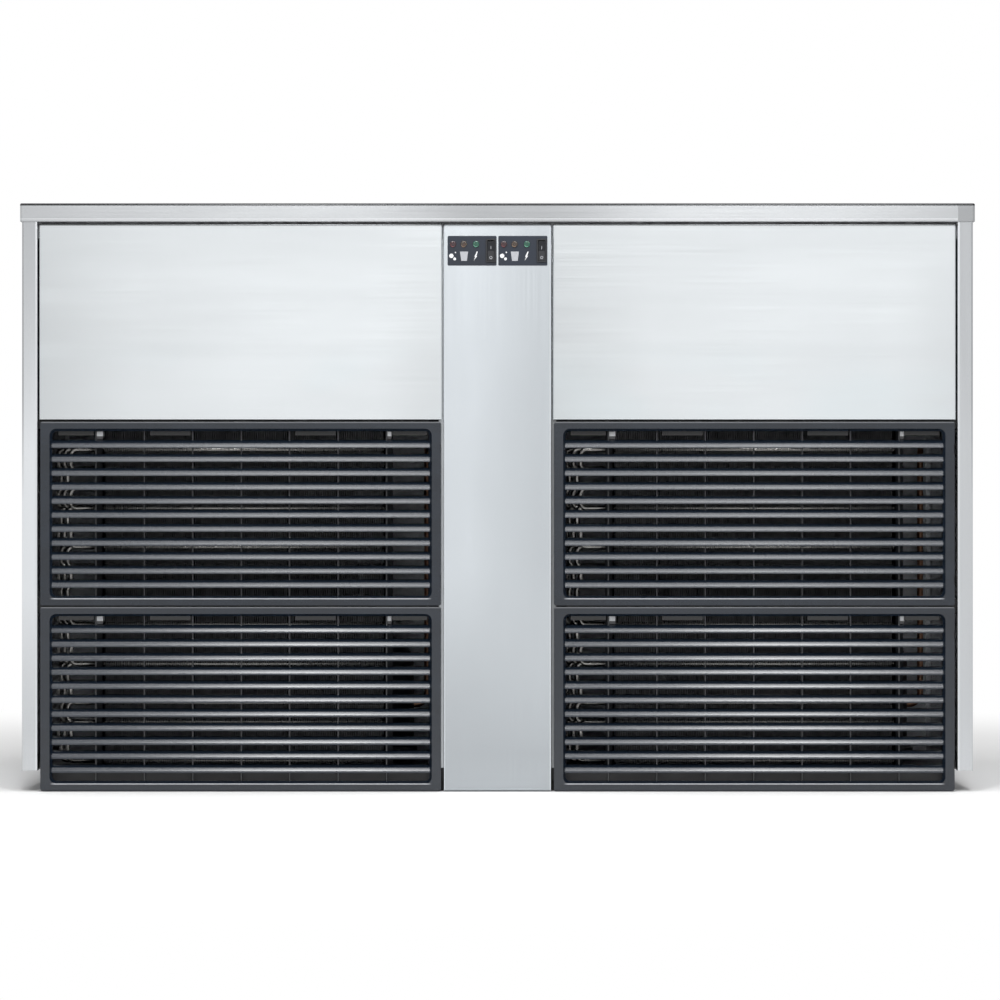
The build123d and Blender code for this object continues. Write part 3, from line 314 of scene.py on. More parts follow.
def galvanised(name, tone, rough=0.42):
    """Zinc-coated sheet: spangles of slightly different grey, soft stains and brighter edges."""
    s = Shader(name)
    bent = s.noise((60.0, 60.0, 60.0), 2.0)
    spread = s.add("ShaderNodeMixRGB", {0: 0.012, 1: s.place, 2: bent}).outputs[0]
    cells = s.add("ShaderNodeTexVoronoi", {"Vector": spread, "Scale": 130.0, "Randomness": 1.0})
    spangle = s.add("ShaderNodeSeparateColor", {0: cells.outputs["Color"]}).outputs[0]
    patchy_tint = s.noise((9.0, 9.0, 9.0), 4.0, 0.6, seed=4.0)
    colour = s.mix(spangle, times(tone, 0.82), times(tone, 1.10))
    colour = s.mix(s.span(patchy_tint, 0.55, 0.75, 0.0, 0.35), colour, times(tone, 0.70))
    worn, rounded = s.edges(0.0005)
    colour = s.mix(s.math("MULTIPLY", worn, 0.3), colour, times(tone, 1.2))
    s.set(base_color=colour, metallic=0.9, roughness=s.span(spangle, 0.0, 1.0, rough - 0.08, rough + 0.12),
          normal=s.bump(spangle, 0.08, 0.0001, rounded))
    return s.material


def plastic(name, tone, rough=0.35, texture=1400.0, depth=0.00005, wear=0.4, dust=0.0, ior=1.5, coat=0.0,
            shade=None, smooth=False):
    """Moulded plastic: fine grain, slightly uneven colour and gloss, paler edges, and dust lying on top."""
    s = Shader(name)
    uneven, strength = (0.2, 0.10) if smooth else (1.0, 0.25)
    grain = s.noise((texture, texture, texture), 2.0)
    flow = s.noise((14.0, 30.0, 30.0), 3.0, 0.55, seed=2.0)
    colour = s.mix(s.span(flow, 0.3, 0.7), times(tone, 0.82), times(tone, 1.18))
    colour = s.mix(s.span(grain, 0.5, 0.8, 0.0, 0.25), colour, times(tone, 1.5, 0.004))
    worn, rounded = s.edges(0.0006)
    colour = s.mix(s.math("MULTIPLY", worn, wear), colour, times(tone, 1.9, 0.02))
    if dust > 0:
        normal = s.add("ShaderNodeNewGeometry").outputs["Normal"]
        up = s.add("ShaderNodeSeparateXYZ", {0: normal}).outputs["Z"]
        specks = s.noise((90.0, 90.0, 90.0), 4.0, 0.7, seed=9.0)
        share = s.math("MULTIPLY", s.span(up, 0.35, 0.95, 0.0, dust), s.span(specks, 0.35, 0.65))
        colour = s.mix(share, colour, DUST_TONE)
    if shade is not None:
        colour = shade(s, colour, tone)
    gloss = s.math("ADD", s.span(flow, 0.3, 0.7, rough - 0.05 * uneven, rough + 0.06 * uneven),
                   s.span(grain, 0.3, 0.7, -0.03 * uneven, 0.04 * uneven))
    s.set(base_color=colour, roughness=gloss, ior=ior, coat=coat,
          normal=s.bump(grain, strength, depth, rounded))
    return s.material


def painted_metal(name, tone, rough=0.38):
    """Gloss paint on metal: faint orange peel, scuffs that dull it, and chips to bare metal on edges."""
    s = Shader(name)
    peel = s.noise((420.0, 420.0, 420.0), 2.0)
    scuff = s.noise((35.0, 35.0, 35.0), 5.0, 0.7, seed=5.0)
    worn, rounded = s.edges(0.0008)
    colour = s.mix(s.span(scuff, 0.3, 0.7), times(tone, 0.8), times(tone, 1.2))
    chips = s.math("MULTIPLY", worn, s.span(scuff, 0.52, 0.60))
    s.set(base_color=s.mix(chips, colour, CHIP_TONE), metallic=chips,
          roughness=s.span(scuff, 0.3, 0.7, rough - 0.1, rough + 0.15),
          normal=s.bump(peel, 0.15, 0.0001, rounded))
    return s.material


def bare_metal(name, tone, rough, streak=(900.0, 900.0, 900.0), tarnish=0.3, shade=None):
    """Turned or drawn bare metal: fine marks, darker tarnish in patches and brighter edges."""
    s = Shader(name)
    marks = s.noise(streak, 2.0)
    patch = s.noise((70.0, 70.0, 70.0), 4.0, 0.65, seed=6.0)
    worn, rounded = s.edges(0.0004)
    colour = s.mix(s.span(patch, 0.45, 0.72, 0.0, tarnish), tone, times(tone, 0.45))
    colour = s.mix(s.span(marks, 0.5, 0.8, 0.0, 0.2), colour, times(tone, 0.75))
    colour = s.mix(s.math("MULTIPLY", worn, 0.4), colour, times(tone, 1.25))
    if shade is not None:
        colour = shade(s, colour, tone)
    s.set(base_color=colour, metallic=1.0, roughness=s.span(patch, 0.3, 0.7, rough - 0.05, rough + 0.15),
          normal=s.bump(marks, 0.15, 0.00005, rounded))
    return s.material


def lens(name, deep, bright, glow):
    """Coloured lamp lens: dark, with a painted highlight on its lower left and a faint light from inside."""
    s = Shader(name)
    facets = s.add("ShaderNodeTexVoronoi", {"Vector": s.place, "Scale": 900.0}).outputs["Distance"]
    normal = s.add("ShaderNodeNewGeometry").outputs["Normal"]
    lit = s.add("ShaderNodeVectorMath", {0: normal, 1: LENS_LIT}, operation="DOT_PRODUCT").outputs["Value"]
    speck = s.noise((500.0, 500.0, 500.0), 2.0)
    colour = s.mix(s.span(lit, 0.84, 1.0, smooth=True), deep, bright)
    colour = s.mix(s.span(speck, 0.45, 0.7, 0.0, 0.35), colour, deep)
    s.set(base_color=colour, roughness=s.span(speck, 0.3, 0.7, 0.10, 0.22), coat=0.4, coat_roughness=0.12,
          emission=colour, emission_strength=glow, subsurface=0.2, normal=s.bump(facets, 0.3, 0.0002))
    return s.material


def printed(name, tone):
    """Screen print: an ink layer with slightly uneven cover and gloss."""
    s = Shader(name)
    cover = s.noise((1500.0, 1500.0, 1500.0), 3.0, 0.6)
    s.set(base_color=s.mix(s.span(cover, 0.35, 0.7), times(tone, 0.86), tone),
          roughness=s.span(cover, 0.3, 0.7, 0.38, 0.55), normal=s.bump(cover, 0.2, 0.00003))
    return s.material


def darken(s, colour, share, tone, factor):
    """Moves a colour towards a darker or brighter tone by a share."""
    return s.mix(share, colour, times(tone, factor))


def front_share(s, depths):
    """1 on the front of a piece and 0 behind it, fading between two depths behind the front plane."""
    return s.span(s.axis("Y"), FRONT_Y + depths[0], FRONT_Y + depths[1], 1.0, 0.0)


def shade_panel(s, colour, tone):
    """Upper panels: palest in the middle, with painted shade towards their ends and top and in two faint
    bands, and a faint bluish patch low down.
    """
    z, x = s.axis("Z"), s.axis("X")
    colour = darken(s, colour, s.span(z, *PANEL_TOP_FADE, smooth=True), tone, PANEL_TOP_SHADE)
    for edge in (-PANEL_OUTER_X, CENTRE_HALF_WIDTH + PANEL_GAP):
        after = s.span(x, edge - PANEL_GAP, edge)
        fades = [s.span(x, edge, edge + reach, share, 0.0) for reach, share in PANEL_LEFT_FADES]
        near = s.math("MULTIPLY", s.math("ADD", *fades), after)
        colour = darken(s, colour, near, tone, PANEL_LEFT_SHADE)
    for edge in (-CENTRE_HALF_WIDTH - PANEL_GAP, PANEL_OUTER_X):
        before = s.span(x, edge, edge + PANEL_GAP, 1.0, 0.0)
        near = s.math("MULTIPLY", s.span(x, edge - PANEL_RIGHT_REACH, edge, smooth=True), before)
        colour = darken(s, colour, near, tone, PANEL_RIGHT_SHADE)
    for low, high in PANEL_BANDS:
        band = s.math("MULTIPLY", s.band("Z", low, high, PANEL_BAND_SOFT), PANEL_BAND_SHARE)
        colour = darken(s, colour, band, tone, PANEL_BAND_SHADE)
    # A faint bluish patch, patchy by noise, low on the panels
    patchy_tint = s.math("MULTIPLY", s.band("Z", PANEL_BOTTOM_Z, PANEL_TINT_TOP, PANEL_TINT_SOFT),
                   s.span(s.noise((4.0, 4.0, 9.0)), 0.45, 0.6))
    tinted = tuple(c * tint for c, tint in zip(tone, PANEL_TINT_FACTORS))
    colour = s.mix(s.math("MULTIPLY", patchy_tint, PANEL_TINT_SHARE), colour, tinted)
    return shade_top(s, colour, tone)


def shade_top(s, colour, tone):
    """The shade that the lid throws on the top edge of what hangs under it."""
    z = s.axis("Z")
    for start, end, factor in UNDER_LID_FADES:
        colour = darken(s, colour, s.span(z, PANEL_TOP_Z - start, PANEL_TOP_Z - end), tone, factor)
    return colour


def shade_centre(s, colour, tone):
    """Centre panel: pale to its middle, with painted shade at its foot and right side and painted highlights
    on its thin edges.
    """
    z, x = s.axis("Z"), s.axis("X")
    foot = s.span(z, *CENTRE_FOOT_FADE, 1.0, 0.0)
    colour = darken(s, colour, foot, tone, CENTRE_FOOT_SHADE)
    right = s.math("MULTIPLY", s.span(x, *CENTRE_RIGHT_FADE), s.math("SUBTRACT", 1.0, foot))
    colour = darken(s, colour, right, tone, CENTRE_RIGHT_SHADE)
    for low in (-CENTRE_HALF_WIDTH, CENTRE_HALF_WIDTH - CENTRE_EDGE_WIDTH):
        edge = s.math("MULTIPLY", s.band("X", low, low + CENTRE_EDGE_WIDTH, LINE_SOFT), CENTRE_EDGE_SHARE)
        colour = darken(s, colour, edge, tone, CENTRE_EDGE_SHADE)
    return shade_top(s, colour, tone)


def shade_lid(s, colour, tone):
    """Lid: a painted dark line at its top edge, a painted highlight near its foot, and painted shade in the
    middle and at its ends.
    """
    x, z = s.axis("X"), s.axis("Z")
    front = front_share(s, LID_FRONT_DEPTHS)
    middle = s.math("MULTIPLY", s.band("X", *LID_MIDDLE, LID_MIDDLE_SOFT), front)
    colour = darken(s, colour, middle, tone, LID_MIDDLE_SHADE)
    ends = s.math("MULTIPLY", s.span(s.math("ABSOLUTE", x), *LID_END_FADE), front)
    colour = darken(s, colour, ends, tone, LID_END_SHADE)
    low, high = LID_FOOT_LINE
    line = s.math("MULTIPLY", s.band("Z", LID_BOTTOM_Z + low, LID_BOTTOM_Z + high, LINE_SOFT), front)
    colour = darken(s, colour, s.math("MULTIPLY", line, LID_FOOT_SHARE), tone, LID_FOOT_SHADE)
    corner = s.math("MULTIPLY", s.span(x, *LID_CORNER_FADE), front)
    colour = darken(s, colour, corner, tone, LID_CORNER_SHADE)
    start, end = LID_TOP_LINE
    top = s.math("MULTIPLY", s.span(z, LID_TOP_Z - start, LID_TOP_Z - end), front)
    return darken(s, colour, top, tone, LID_TOP_SHADE)


def shade_side(s, colour, tone):
    """Side panels' front flanges: painted shade at the top, painted light on the left one, and painted
    highlights along both inner lines.
    """
    x, z = s.axis("X"), s.axis("Z")
    across = s.math("ABSOLUTE", x)
    front = front_share(s, FLANGE_DEPTHS)
    left = s.math("MULTIPLY", s.span(x, -0.1, 0.1, 1.0, 0.0), front)
    glow = s.math("MULTIPLY", s.span(z, *FLANGE_GLOW_RISE), s.span(z, *FLANGE_GLOW_FALL))
    colour = darken(s, colour, s.math("MULTIPLY", left, glow), tone, FLANGE_GLOW_SHADE)
    top = s.math("MULTIPLY", s.span(z, *FLANGE_TOP_FADE), front)
    colour = darken(s, colour, top, tone, FLANGE_TOP_SHADE)
    line = s.math("MULTIPLY", s.span(across, *FLANGE_LINE, 1.0, 0.0), front)
    colour = darken(s, colour, s.math("MULTIPLY", line, FLANGE_LINE_SHARE), tone, FLANGE_LINE_SHADE)
    outer = s.math("MULTIPLY", s.span(across, *FLANGE_EDGE_FADE), s.span(z, *FLANGE_EDGE_RISE))
    return darken(s, colour, s.math("MULTIPLY", outer, front), tone, FLANGE_EDGE_SHADE)


def shade_mullion(s, colour, tone):
    """Mullions: painted shade on the sides that lie behind the grilles."""
    return s.mix(s.span(s.math("ABSOLUTE", s.axis("X")), *MULLION_SHADE_FROM), colour, MULLION_SHADE_TONE)


def shade_fins(s, colour, tone):
    """Fins: bare along their front edges, with painted shade deeper in."""
    start, end = FIN_SHADE_DEPTHS
    deep = s.span(s.axis("Y"), COIL_FRONT_Y + start, COIL_FRONT_Y + end, smooth=True)
    return s.mix(deep, colour, FIN_SHADE_TONE)


def shade_grille(s, colour, tone):
    """Grilles: painted highlights on the louvres' fronts, painted shade on what lies behind them, and painted
    highlights along the ledges and rims.
    """
    y = s.axis("Y")
    deep = s.span(y, LOUVRE_BACK_Y, LOUVRE_BACK_Y + LOUVRE_DEEP_REACH)
    start, end = LOUVRE_FRONT_DEPTHS
    curved = s.math("MULTIPLY", s.span(y, FRONT_Y + start, FRONT_Y + end), s.math("SUBTRACT", 1.0, deep))
    colour = darken(s, colour, s.math("MULTIPLY", curved, LOUVRE_FRONT_SHARE), tone, LOUVRE_FRONT_SHADE)
    colour = darken(s, colour, s.math("MULTIPLY", deep, LOUVRE_DEEP_SHARE), tone, LOUVRE_DEEP_SHADE)
    shallow = front_share(s, LEDGE_DEPTHS)
    across = s.math("ABSOLUTE", s.math("SUBTRACT", s.math("ABSOLUTE", s.axis("X")), BAY_X))
    inside = s.math("MULTIPLY", s.span(across, *LEDGE_ENDS, 1.0, 0.0), shallow)
    for lines, share, line_tone in ((LEDGE_LINES, inside, LEDGE_HIGHLIGHT_TONE), (RIM_LINES, shallow, RIM_HIGHLIGHT_TONE)):
        for low, high in lines:
            colour = s.mix(s.math("MULTIPLY", s.band("Z", low, high, LINE_SOFT), share), colour, line_tone)
    return colour


def shade_catch(s, colour, tone):
    """Catches: white at the top, with painted shade below, where the first louvre covers them."""
    z = s.axis("Z")
    for top in CATCH_TOPS:
        below = s.span(z, *(top - depth for depth in CATCH_SHADE_TOP), 1.0, 0.0)
        above = s.span(z, *(top - depth for depth in CATCH_SHADE_FOOT))
        colour = s.mix(s.math("MULTIPLY", below, above), colour, CATCH_SHADE_TONE)
    return colour


front_panels = steel("panel_steel", PALE_STEEL, "x", 0.012, 0.20, shade_panel, 1.0, 0.05)
side_steel = steel("side_steel", SIDE_STEEL, "z", 0.03, 0.22, shade_side, 34.0)
finishes = {
    "galvanised": galvanised("galvanised_sheet", (0.52, 0.54, 0.56)),
    "screw_steel": bare_metal("screw_steel", (0.55, 0.56, 0.58), 0.28),
    "grille_plastic": plastic("grille_plastic", SLATE, 0.27, 1600.0, 0.00002, 0.25, ior=1.55,
                              shade=shade_grille, smooth=True),
    "catch_plastic": plastic("catch_plastic", (0.50, 0.51, 0.52), 0.35, 900.0, shade=shade_catch),
    "plate_plastic": plastic("plate_plastic", (0.004, 0.009, 0.020), 0.44, 2200.0, 0.00003, 0.3, ior=1.42),
    "lamp_red": lens("lamp_red", (0.030, 0.008, 0.012), (0.20, 0.060, 0.070), 0.02),
    "lamp_amber": lens("lamp_amber", (0.040, 0.026, 0.018), (0.28, 0.17, 0.11), 0.02),
    "lamp_green": lens("lamp_green", (0.010, 0.070, 0.045), (0.18, 0.46, 0.32), 0.05),
    "switch_plastic": plastic("switch_plastic", (0.006, 0.007, 0.010), 0.42, 1800.0, 0.00003, 0.25, ior=1.42),
    # The fins' aluminium has a dark tone: painted shade inside the machine
    "coil_aluminium": bare_metal("coil_aluminium", (0.20, 0.205, 0.21), 0.38, (300.0, 900.0, 40.0), 0.45,
                                 shade_fins),
    "frame_paint": painted_metal("frame_paint", (0.022, 0.022, 0.024), 0.42),
    "fan_plastic": plastic("fan_plastic", (0.022, 0.023, 0.025), 0.42, 700.0, 0.00006, dust=0.35),
    "motor_paint": painted_metal("motor_paint", (0.028, 0.029, 0.031)),
    "liner_plastic": plastic("liner_plastic", (0.66, 0.69, 0.72), 0.33, 500.0, 0.00004),
    "curtain_plastic": plastic("curtain_plastic", (0.58, 0.64, 0.68), 0.25, 400.0, 0.00003, coat=0.3),
    "evaporator_metal": bare_metal("evaporator_metal", (0.66, 0.64, 0.60), 0.25, (400.0, 400.0, 400.0), 0.25),
    "pump_plastic": plastic("pump_plastic", (0.070, 0.095, 0.14), 0.38, 800.0),
    "brass": bare_metal("turned_brass", (0.72, 0.52, 0.24), 0.22, (60.0, 1800.0, 60.0), 0.35),
    "drain_plastic": plastic("drain_plastic", (0.40, 0.41, 0.42), 0.40, 900.0),
    "copper": bare_metal("copper_tube", (0.42, 0.23, 0.15), 0.30, (500.0, 500.0, 500.0), 0.45),
}
lower_grilles = plastic("lower_grille_plastic", SLATE, 0.195, 1600.0, 0.00002, 0.25, ior=1.62,
                        shade=shade_grille, smooth=True)
# The coils' end plates are galvanised sheet in a near-black tone: painted shade
shaded_coil_sheet = galvanised("shaded_coil_sheet", (0.020, 0.021, 0.023), 0.5)
coil_tube = bare_metal("coil_tube", (0.36, 0.355, 0.34), 0.20, (700.0, 700.0, 700.0), 0.35)
white_ink = printed("white_ink", (0.80, 0.81, 0.82))
grey_ink = printed("grey_ink", (0.42, 0.43, 0.46))

# Nodes that don't wear the finish of their slot
special = {
    "left_front_panel": front_panels,
    "right_front_panel": front_panels,
    "centre_panel": steel("centre_steel", CENTRE_STEEL, "z", 0.025, 0.20, shade_centre, 12.0, 0.06),
    "top_lid": steel("lid_steel", LID_STEEL, "x", 0.03, 0.21, shade_lid, 23.0),
    "left_side_panel": side_steel,
    "right_side_panel": side_steel,
    # The two mullions are lit and shaded copies of one steel: painted light on the left one, painted shade on
    # the right one
    "left_mullion": steel("left_mullion_steel", MID_STEEL, "z", 0.04, 0.34, shade_mullion, 56.0),
    "right_mullion": steel("right_mullion_steel", SHADED_STEEL, "z", 0.04, 0.40, shade_mullion, 67.0),
    "lower_left_grille": lower_grilles,
    "lower_right_grille": lower_grilles,
}
# The pan and rails take the near-black frame paint in place of their slot's finish: painted shade inside the
# machine
for name in ("base_pan", "left_upper_rail", "left_middle_rail", "right_upper_rail", "right_middle_rail"):
    special[name] = finishes["frame_paint"]


def dress(piece, material):
    """Puts one material on every slot of a piece."""
    mesh = piece.data
    if not mesh.materials:
        mesh.materials.append(material)
    for index in range(len(mesh.materials)):
        mesh.materials[index] = material


for name, piece in nodes.items():
    dress(piece, special[name] if name in special else finishes[slot_of[name]])


# Fine pieces

def new_piece(name, bm, materials, body="cabinet"):
    """Turns a bmesh into a named piece that rides on a body."""
    mesh = bpy.data.meshes.new(name)
    bm.to_mesh(mesh)
    bm.free()
    piece = bpy.data.objects.new(name, mesh)
    bpy.context.scene.collection.objects.link(piece)
    for material in materials:
        mesh.materials.append(material)
    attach(piece, body)
    return piece


def add_box(bm, low, high, material=0):
    """Adds a box from its lowest to its highest corner."""
    made = bmesh.ops.create_cube(bm, size=1.0)["verts"]
    for vert in made:
        for axis in range(3):
            vert.co[axis] = low[axis] if vert.co[axis] < 0 else high[axis]
    for face in {face for vert in made for face in vert.link_faces}:
        face.material_index = material
    return made


def add_tube(bm, path, radius, sides, material):
    """Adds a round tube along a list of points, closed at both ends."""
    before_faces = set(bm.faces)
    rings = []
    for index, point in enumerate(path):
        before = path[max(index - 1, 0)]
        after = path[min(index + 1, len(path) - 1)]
        along = (Vector(after) - Vector(before)).normalized()
        side = along.cross(Vector((0.0, 0.3, 1.0))).normalized()
        up = side.cross(along)
        ring = []
        for step in range(sides):
            turn = 2 * math.pi * step / sides
            ring.append(bm.verts.new(Vector(point) + radius * (math.cos(turn) * side + math.sin(turn) * up)))
        rings.append(ring)
    for first, second in zip(rings, rings[1:]):
        for step in range(sides):
            after = (step + 1) % sides
            bm.faces.new((first[step], first[after], second[after], second[step])).smooth = True
    bm.faces.new(rings[0])
    bm.faces.new(list(reversed(rings[-1])))
    for face in set(bm.faces) - before_faces:
        face.material_index = material


def corner_points(x, z, y, up):
    """Points round a quarter turn between a level run at z and an upright run at x."""
    points = []
    for step in range(BEND_STEPS + 1):
        turn = math.pi / 2 * step / BEND_STEPS
        across, rise = BEND_RADIUS * (1 - math.sin(turn)), BEND_RADIUS * (1 - math.cos(turn))
        points.append((x + across, y, z + up * rise))
    return points if up > 0 else points[::-1]


def make_condenser(side, centre_x):
    """A finned coil: thin fins on tube rows, end plates with lips, and return bends at the left end."""
    chance = random.Random(COIL_SEEDS[side])
    bm = bmesh.new()
    left, right = centre_x + FIN_LEFT_DX, centre_x + FIN_RIGHT_DX
    middle_y = (COIL_FRONT_Y + COIL_BACK_Y) / 2
    for index in range(int((right - left - 2 * FIN_END_GAP) / FIN_PITCH)):
        x = left + FIN_END_GAP + FIN_PITCH * (index + 0.5) + chance.uniform(-FIN_JITTER, FIN_JITTER)
        lean = chance.uniform(-FIN_LEAN, FIN_LEAN) if chance.random() < FIN_LEAN_CHANCE else 0.0
        made = add_box(bm, (x - FIN_THICKNESS / 2, COIL_FRONT_Y + FIN_INSET_Y, COIL_BOTTOM_Z + FIN_INSET_Z),
                       (x + FIN_THICKNESS / 2, COIL_BACK_Y - FIN_INSET_Y, COIL_TOP_Z - FIN_INSET_Z))
        for vert in made:
            if vert.co.y < middle_y:
                vert.co.x += lean
    for low, high in ((left - END_PLATE, left), (right, right + END_PLATE)):
        add_box(bm, (low, COIL_FRONT_Y, COIL_BOTTOM_Z), (high, COIL_BACK_Y, COIL_TOP_Z), 1)
    for low, high in ((left - END_PLATE - END_FLANGE, left), (right, right + END_PLATE + END_FLANGE)):
        add_box(bm, (low, COIL_FRONT_Y, COIL_BOTTOM_Z), (high, COIL_FRONT_Y + END_PLATE, COIL_TOP_Z), 1)
    tube_left, tube_right = left - END_PLATE - TUBE_STUB, right + END_PLATE + TUBE_STUB
    for column, y in enumerate(TUBE_COLUMNS_Y):
        for row in range(TUBE_ROWS):
            z = TOP_TUBE_Z - TUBE_PITCH * row
            add_tube(bm, [(tube_left, y, z), (tube_right, y, z)], TUBE_RADIUS, 8, 2)
        reach = left - BEND_REACHES[column]
        for row in range(column % 2, TUBE_ROWS - 1, 2):
            high = TOP_TUBE_Z - TUBE_PITCH * row
            low = high - TUBE_PITCH
            path = [(left, y, low)] + corner_points(reach, low, y, 1) + corner_points(reach, high, y, -1)
            add_tube(bm, path + [(left, y, high)], TUBE_RADIUS, 10, 2)
    materials = (finishes["coil_aluminium"], shaded_coil_sheet, coil_tube)
    piece = new_piece(f"{side}_finned_coil", bm, materials)
    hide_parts(f"{side}_condenser")


def plate_point(plate_left, across, up):
    """The x and z of a place on a plate, from millimetres across and up."""
    return plate_left + across / 1000, PLATE_BOTTOM_Z + up / 1000 - PRINT_DROP


def disc(x, z, radius, sides=24):
    """The outline of a disc."""
    turns = [2 * math.pi * step / sides for step in range(sides)]
    return [(x + radius * math.cos(turn), z + radius * math.sin(turn)) for turn in turns]


def add_print(bm, outline):
    """Adds a thin flat sign from its x, z outline to the plates' face."""
    front = [bm.verts.new((x, PLATE_Y - PRINT_RISE, z)) for x, z in outline]
    back = [bm.verts.new((x, PLATE_Y + PRINT_RISE, z)) for x, z in outline]
    bm.faces.new(front)
    bm.faces.new(list(reversed(back)))
    for index in range(len(outline)):
        after = (index + 1) % len(outline)
        bm.faces.new((front[index], back[index], back[after], front[after]))


def make_plate_marks(side, plate_left):
    """The signs on one plate: dots of ice and a bolt in white, and a bucket in grey."""
    bm = bmesh.new()
    for across, up, radius in ICE_DOTS:
        add_print(bm, disc(*plate_point(plate_left, across, up), radius / 1000))
    add_print(bm, [plate_point(plate_left, *corner) for corner in BOLT])
    new_piece(f"{side}_ice_and_power_marks", bm, (white_ink,))
    bm = bmesh.new()
    add_print(bm, [plate_point(plate_left, *corner) for corner in BUCKET])
    new_piece(f"{side}_bucket_mark", bm, (grey_ink,))


def rocker_point(pivot_x, across, up, rise):
    """A point on a rocker's face, by its place across and up the rocker and its height over the face."""
    depth = -ROCKER_VALLEY - ROCKER_SLOPE * abs(up) - rise
    turn = math.radians(ROCKER_TILT)
    return (pivot_x + across, ROCKER_PIVOT[0] + depth * math.cos(turn) - up * math.sin(turn),
            ROCKER_PIVOT[1] + depth * math.sin(turn) + up * math.cos(turn))


def add_strip(bm, pivot_x, inner, outer):
    """Adds a thin raised strip between two rows of (across, up) places."""
    lines = ((inner, MARK_RISE), (outer, MARK_RISE), (outer, -MARK_RISE), (inner, -MARK_RISE))
    rows = [[bm.verts.new(rocker_point(pivot_x, across, up, rise)) for across, up in line]
            for line, rise in lines]
    for index in range(len(inner) - 1):
        for side, first in enumerate(rows):
            second = rows[(side + 1) % 4]
            bm.faces.new((first[index], first[index + 1], second[index + 1], second[index]))
    for end in (0, -1):
        bm.faces.new([row[end] for row in rows])


def make_rocker_marks(side, pivot_x):
    """The stroke on a rocker's upper half and the ring on its lower half."""
    bm = bmesh.new()
    ends = (STROKE_UP - STROKE_HALF_HEIGHT, STROKE_UP + STROKE_HALF_HEIGHT)
    add_strip(bm, pivot_x, [(-MARK_HALF_WIDTH, up) for up in ends], [(MARK_HALF_WIDTH, up) for up in ends])
    turns = [2 * math.pi * step / RING_STEPS for step in range(RING_STEPS + 1)]
    circles = [[(radius * math.cos(turn), RING_UP + radius * math.sin(turn)) for turn in turns]
               for radius in (RING_RADIUS - RING_LINE, RING_RADIUS)]
    add_strip(bm, pivot_x, *circles)
    new_piece(f"{side}_rocker_marks", bm, (grey_ink,), f"{side}_rocker")


for side, centre_x in (("left", -BAY_X), ("right", BAY_X)):
    make_condenser(side, centre_x)
for side, plate_left in PLATE_LEFTS:
    make_plate_marks(side, plate_left)
for side, pivot_x in ROCKER_PLACES:
    make_rocker_marks(side, pivot_x)


# Stage, light and camera

def area_lamp(name, place, aim, size, power):
    """A softbox at a place, turned towards a point."""
    data = bpy.data.lights.new(name, "AREA")
    data.shape = "RECTANGLE"
    data.size, data.size_y = size
    data.energy = power
    lamp = bpy.data.objects.new(name, data)
    lamp.location = place
    lamp.rotation_euler = (Vector(aim) - Vector(place)).to_track_quat("-Z", "Y").to_euler()
    lamp.visible_camera = False
    bpy.context.scene.collection.objects.link(lamp)


def make_floor():
    """A wide pale floor with faint mottling, that turns white away from the machine."""
    bm = bmesh.new()
    bmesh.ops.create_grid(bm, x_segments=8, y_segments=8, size=FLOOR_HALF_WIDTH)
    mesh = bpy.data.meshes.new("floor")
    bm.to_mesh(mesh)
    bm.free()
    floor = bpy.data.objects.new("floor", mesh)
    floor.location = (0.0, 0.0, -FLOOR_DROP)
    s = Shader("floor_paint")
    mottle = s.noise((1.5, 1.5, 1.5), 4.0)
    s.set(base_color=s.mix(s.span(mottle, 0.3, 0.7), (0.93, 0.93, 0.93), (0.96, 0.96, 0.96)),
          roughness=s.span(mottle, 0.3, 0.7, 0.85, 0.95), specular=0.1)
    far = s.add("ShaderNodeVectorMath", {0: s.place}, operation="LENGTH").outputs["Value"]
    path = s.add("ShaderNodeLightPath").outputs
    seen = s.math("MAXIMUM", path["Is Camera Ray"], path["Is Glossy Ray"])
    seen = s.math("MAXIMUM", seen, path["Is Transmission Ray"])
    share = s.math("MULTIPLY", s.span(far, FLOOR_NEAR, FLOOR_FAR, smooth=True), seen)
    white = s.add("ShaderNodeEmission", {"Strength": 1.0})
    blend = s.add("ShaderNodeMixShader", {0: share, 1: s.surface.outputs[0], 2: white.outputs[0]})
    s.tree.links.new(blend.outputs[0], s.tree.nodes["Material Output"].inputs["Surface"])
    mesh.materials.append(s.material)
    bpy.context.scene.collection.objects.link(floor)


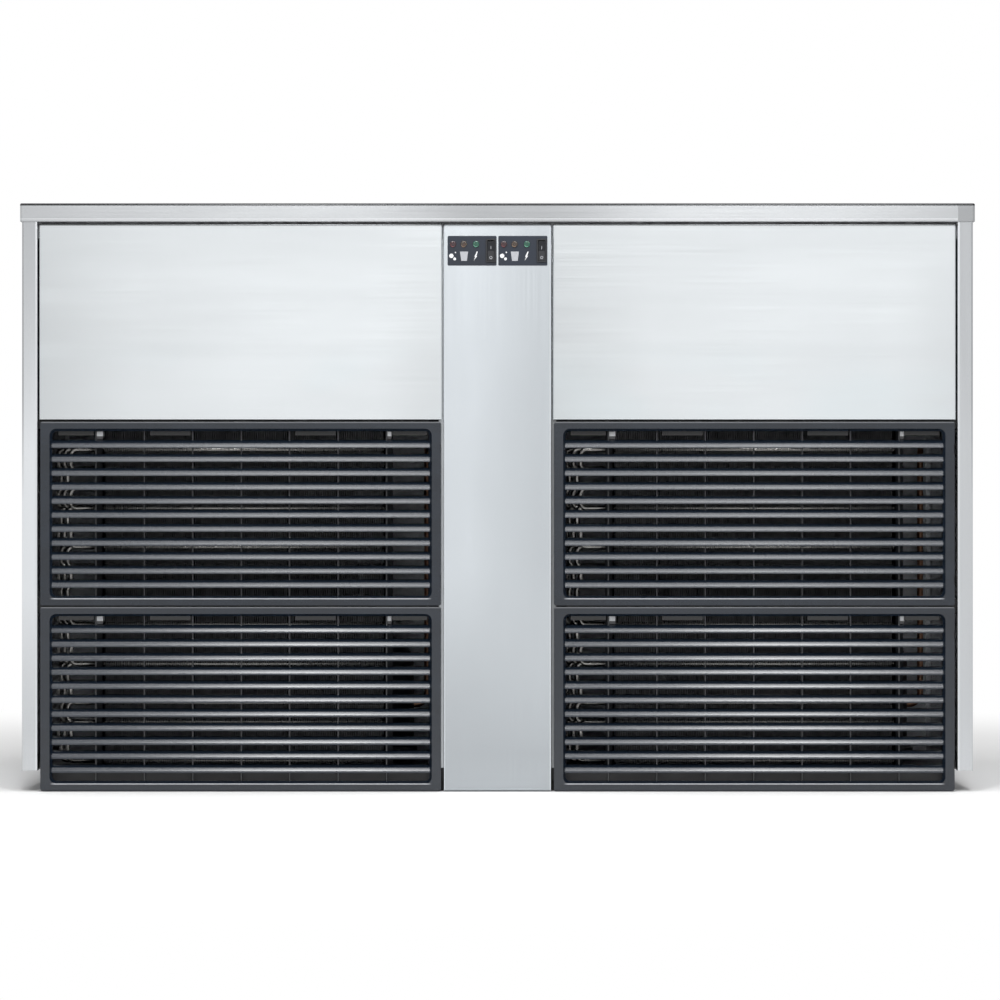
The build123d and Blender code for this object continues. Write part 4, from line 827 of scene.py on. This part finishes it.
def make_world():
    """White for the camera, for reflections and through clear pieces, and a plain soft light elsewhere."""
    world = bpy.data.worlds.new("studio")
    world.use_nodes = True
    tree = world.node_tree
    back = tree.nodes["Background"]
    path = tree.nodes.new("ShaderNodeLightPath")
    seen = path.outputs["Is Camera Ray"]
    for ray in ("Is Glossy Ray", "Is Transmission Ray"):
        larger = tree.nodes.new("ShaderNodeMath")
        larger.operation = "MAXIMUM"
        tree.links.new(seen, larger.inputs[0])
        tree.links.new(path.outputs[ray], larger.inputs[1])
        seen = larger.outputs[0]
    level = tree.nodes.new("ShaderNodeMapRange")
    level.inputs["To Min"].default_value = WORLD_LIGHT
    level.inputs["To Max"].default_value = 1.0
    tree.links.new(seen, level.inputs["Value"])
    tree.links.new(level.outputs[0], back.inputs["Strength"])
    back.inputs["Color"].default_value = (1.0, 1.0, 1.0, 1.0)
    bpy.context.scene.world = world


def make_lamps():
    """One softbox overhead, and two arcs of softboxes that give the louvres their upright highlights."""
    area_lamp("overhead_softbox", OVERHEAD_PLACE, OVERHEAD_AIM, OVERHEAD_SIZE, OVERHEAD_POWER)
    for side, x in SOFTBOX_XS:
        aim = (x * SOFTBOX_AIM_SHARE, AIM_Y, AIM_Z)
        for number, (lift, power) in enumerate(SOFTBOX_ARC, 1):
            turn = math.radians(lift)
            place = (x, AIM_Y - SOFTBOX_REACH * math.cos(turn), AIM_Z + SOFTBOX_REACH * math.sin(turn))
            area_lamp(f"{side}_softbox_{number}", place, aim, SOFTBOX_SIZE, power)


def make_camera():
    """A long lens that looks level at the front, as in the photograph."""
    data = bpy.data.cameras.new("camera")
    data.sensor_width = SENSOR_WIDTH
    data.lens = SENSOR_WIDTH * CAMERA_DISTANCE / CAMERA_WIDTH
    camera = bpy.data.objects.new("camera", data)
    camera.location = (CAMERA_CENTRE[0], FRONT_Y - CAMERA_DISTANCE, CAMERA_CENTRE[1])
    camera.rotation_euler = (math.pi / 2, 0.0, 0.0)
    bpy.context.scene.collection.objects.link(camera)
    bpy.context.scene.camera = camera


make_floor()
make_world()
make_lamps()
make_camera()
bpy.context.scene.view_settings.view_transform = "Standard"
